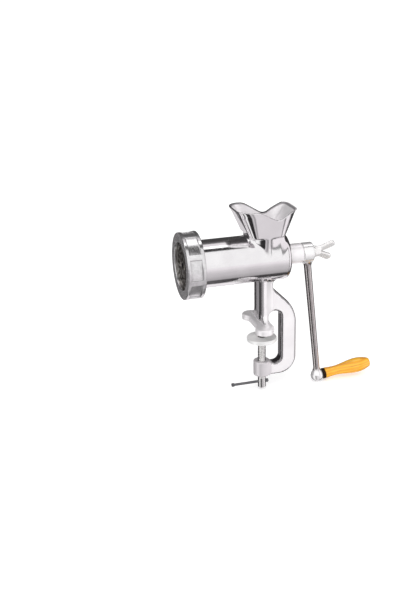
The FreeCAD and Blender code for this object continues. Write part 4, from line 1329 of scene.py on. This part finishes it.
def grown(name, tree, body, slot, values, *nodes, crease=32):
    # runs a tree once with the given inputs and keeps the plain mesh that it makes
    start = addObject(name + "_start", bpy.data.meshes.new(name + "_start"))
    live = start.modifiers.new(name, "NODES")
    live.node_group = tree
    values = {**values, "Material": materials[slot]}
    for item in tree.interface.items_tree:
        if item.in_out == "INPUT" and item.name in values:
            live[item.identifier] = values[item.name]
    depsgraph = bpy.context.evaluated_depsgraph_get()
    mesh = bpy.data.meshes.new_from_object(start.evaluated_get(depsgraph))
    bpy.data.objects.remove(start)
    mesh.name = name
    finishPiece(faceOutwards(addObject(name, mesh), crease), body, slot, *nodes)


clampThread = {
    "Depth": 0.75, "Pitch": 2.0, "Chamfer": 1.6, "Thread From": 14.0, "Cross Hole": 1.65,
    "Sides": 48, "Rows": 380,
}
studThread = {"Depth": 0.45, "Pitch": 1.25, "Chamfer": 0.8, "Sides": 36, "Rows": 160}
collarThread = {
    "Crest": 35.0, "Bore": 33.4, "Depth": 0.75, "Pitch": 3.0, "Chamfer": 0.6, "Length": 13.5,
    "Sides": 144, "Rows": 64,
}
nutThread = {
    "Crest": 35.1, "Bore": 36.6, "Depth": 0.7, "Pitch": 3.0, "Chamfer": 0.5, "Length": 16.0,
    "Sides": 144, "Rows": 70,
}
threads = {
    "barHeight": -76.0,        # the tommy bar's axis
    "collarInset": 1.0,        # from the barrel's front, and from the nut's front
    "nutInset": 5.0,
    "studOverlap": 1.0,        # into the wing screw
}
plate = {
    "Chamfer": 0.5, "First Ring": 8.6, "Ring Gap": 6.3, "First Count": 8, "More Each Ring": 6,
    "Hole": 2.5, "Middle Hole": 4.05, "Sink": 0.35, "Notch": 1.8,
}


def makeThreads():
    rod = threadTree()
    low, high = spot("clamp_screw")
    # the screw grows from its foot upwards, and stays plain where the bar goes through it
    values = {
        "Start": (0.0, 0.0, low.z), "Turn": (0.0, -math.pi / 2, 0.0), "Length": high.z - low.z,
        "Crest": (high.x - low.x) / 2, "Cross Hole At": threads["barHeight"] - low.z,
    }
    grown("clamp_spindle", rod, "clamp_screw", "plated_steel", {**clampThread, **values}, "clamp_screw")
    low = spot("thumb_screw")[0]
    values = {
        "Start": (low.x, 0.0, axisHeight), "Crest": thumb["studRadius"],
        "Length": spot("crank_washer")[1].x + threads["studOverlap"] - low.x,
    }
    grown("wing_screw_stud", rod, "thumb_screw", "plated_steel", {**studThread, **values})
    values = {"Start": (casting["front"] + threads["collarInset"], 0.0, axisHeight)}
    grown("collar_thread", rod, "root", "polished_casting", {**collarThread, **values})
    values = {"Start": (spot("ring_nut")[0].x + threads["nutInset"], 0.0, axisHeight)}
    grown("nut_thread", rod, "nut", "nut_casting", {**nutThread, **values})


def makePlate():
    low, high = spot("grinding_plate")
    values = {
        "Start": (low.x, 0.0, axisHeight), "Thickness": high.x - low.x, "Radius": (high.y - low.y) / 2,
    }
    grown(
        "sieve_plate", plateTree(), "plate", "cutting_steel", {**plate, **values}, "grinding_plate",
        crease=20,
    )


print("stage 4: shapes")
makeCasting()
makeNut()
makeCrank()
makeThumb()
makeGrip()
makeThreads()
makePlate()

# Finishes of the nodes that stay as the frame has them

carried = {
    "plated_steel": [
        "plate_key", "knife_stub", "crank_washer", "grip_axle", "grip_end_washer", "pad_rivet",
    ],
    "cutting_steel": ["cutter_knife"],
    "worm_casting": ["feed_screw"],
    "bush_bronze": ["rear_bush"],
    "washer_plastic": ["thrust_washer"],
    "pad_casting": ["swivel_pad"],
    "bar_steel": ["tommy_bar", "bar_caps"],
}
for finish, names in carried.items():
    for name in names:
        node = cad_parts[name]
        node.data.materials.clear()
        node.data.materials.append(materials[finish])
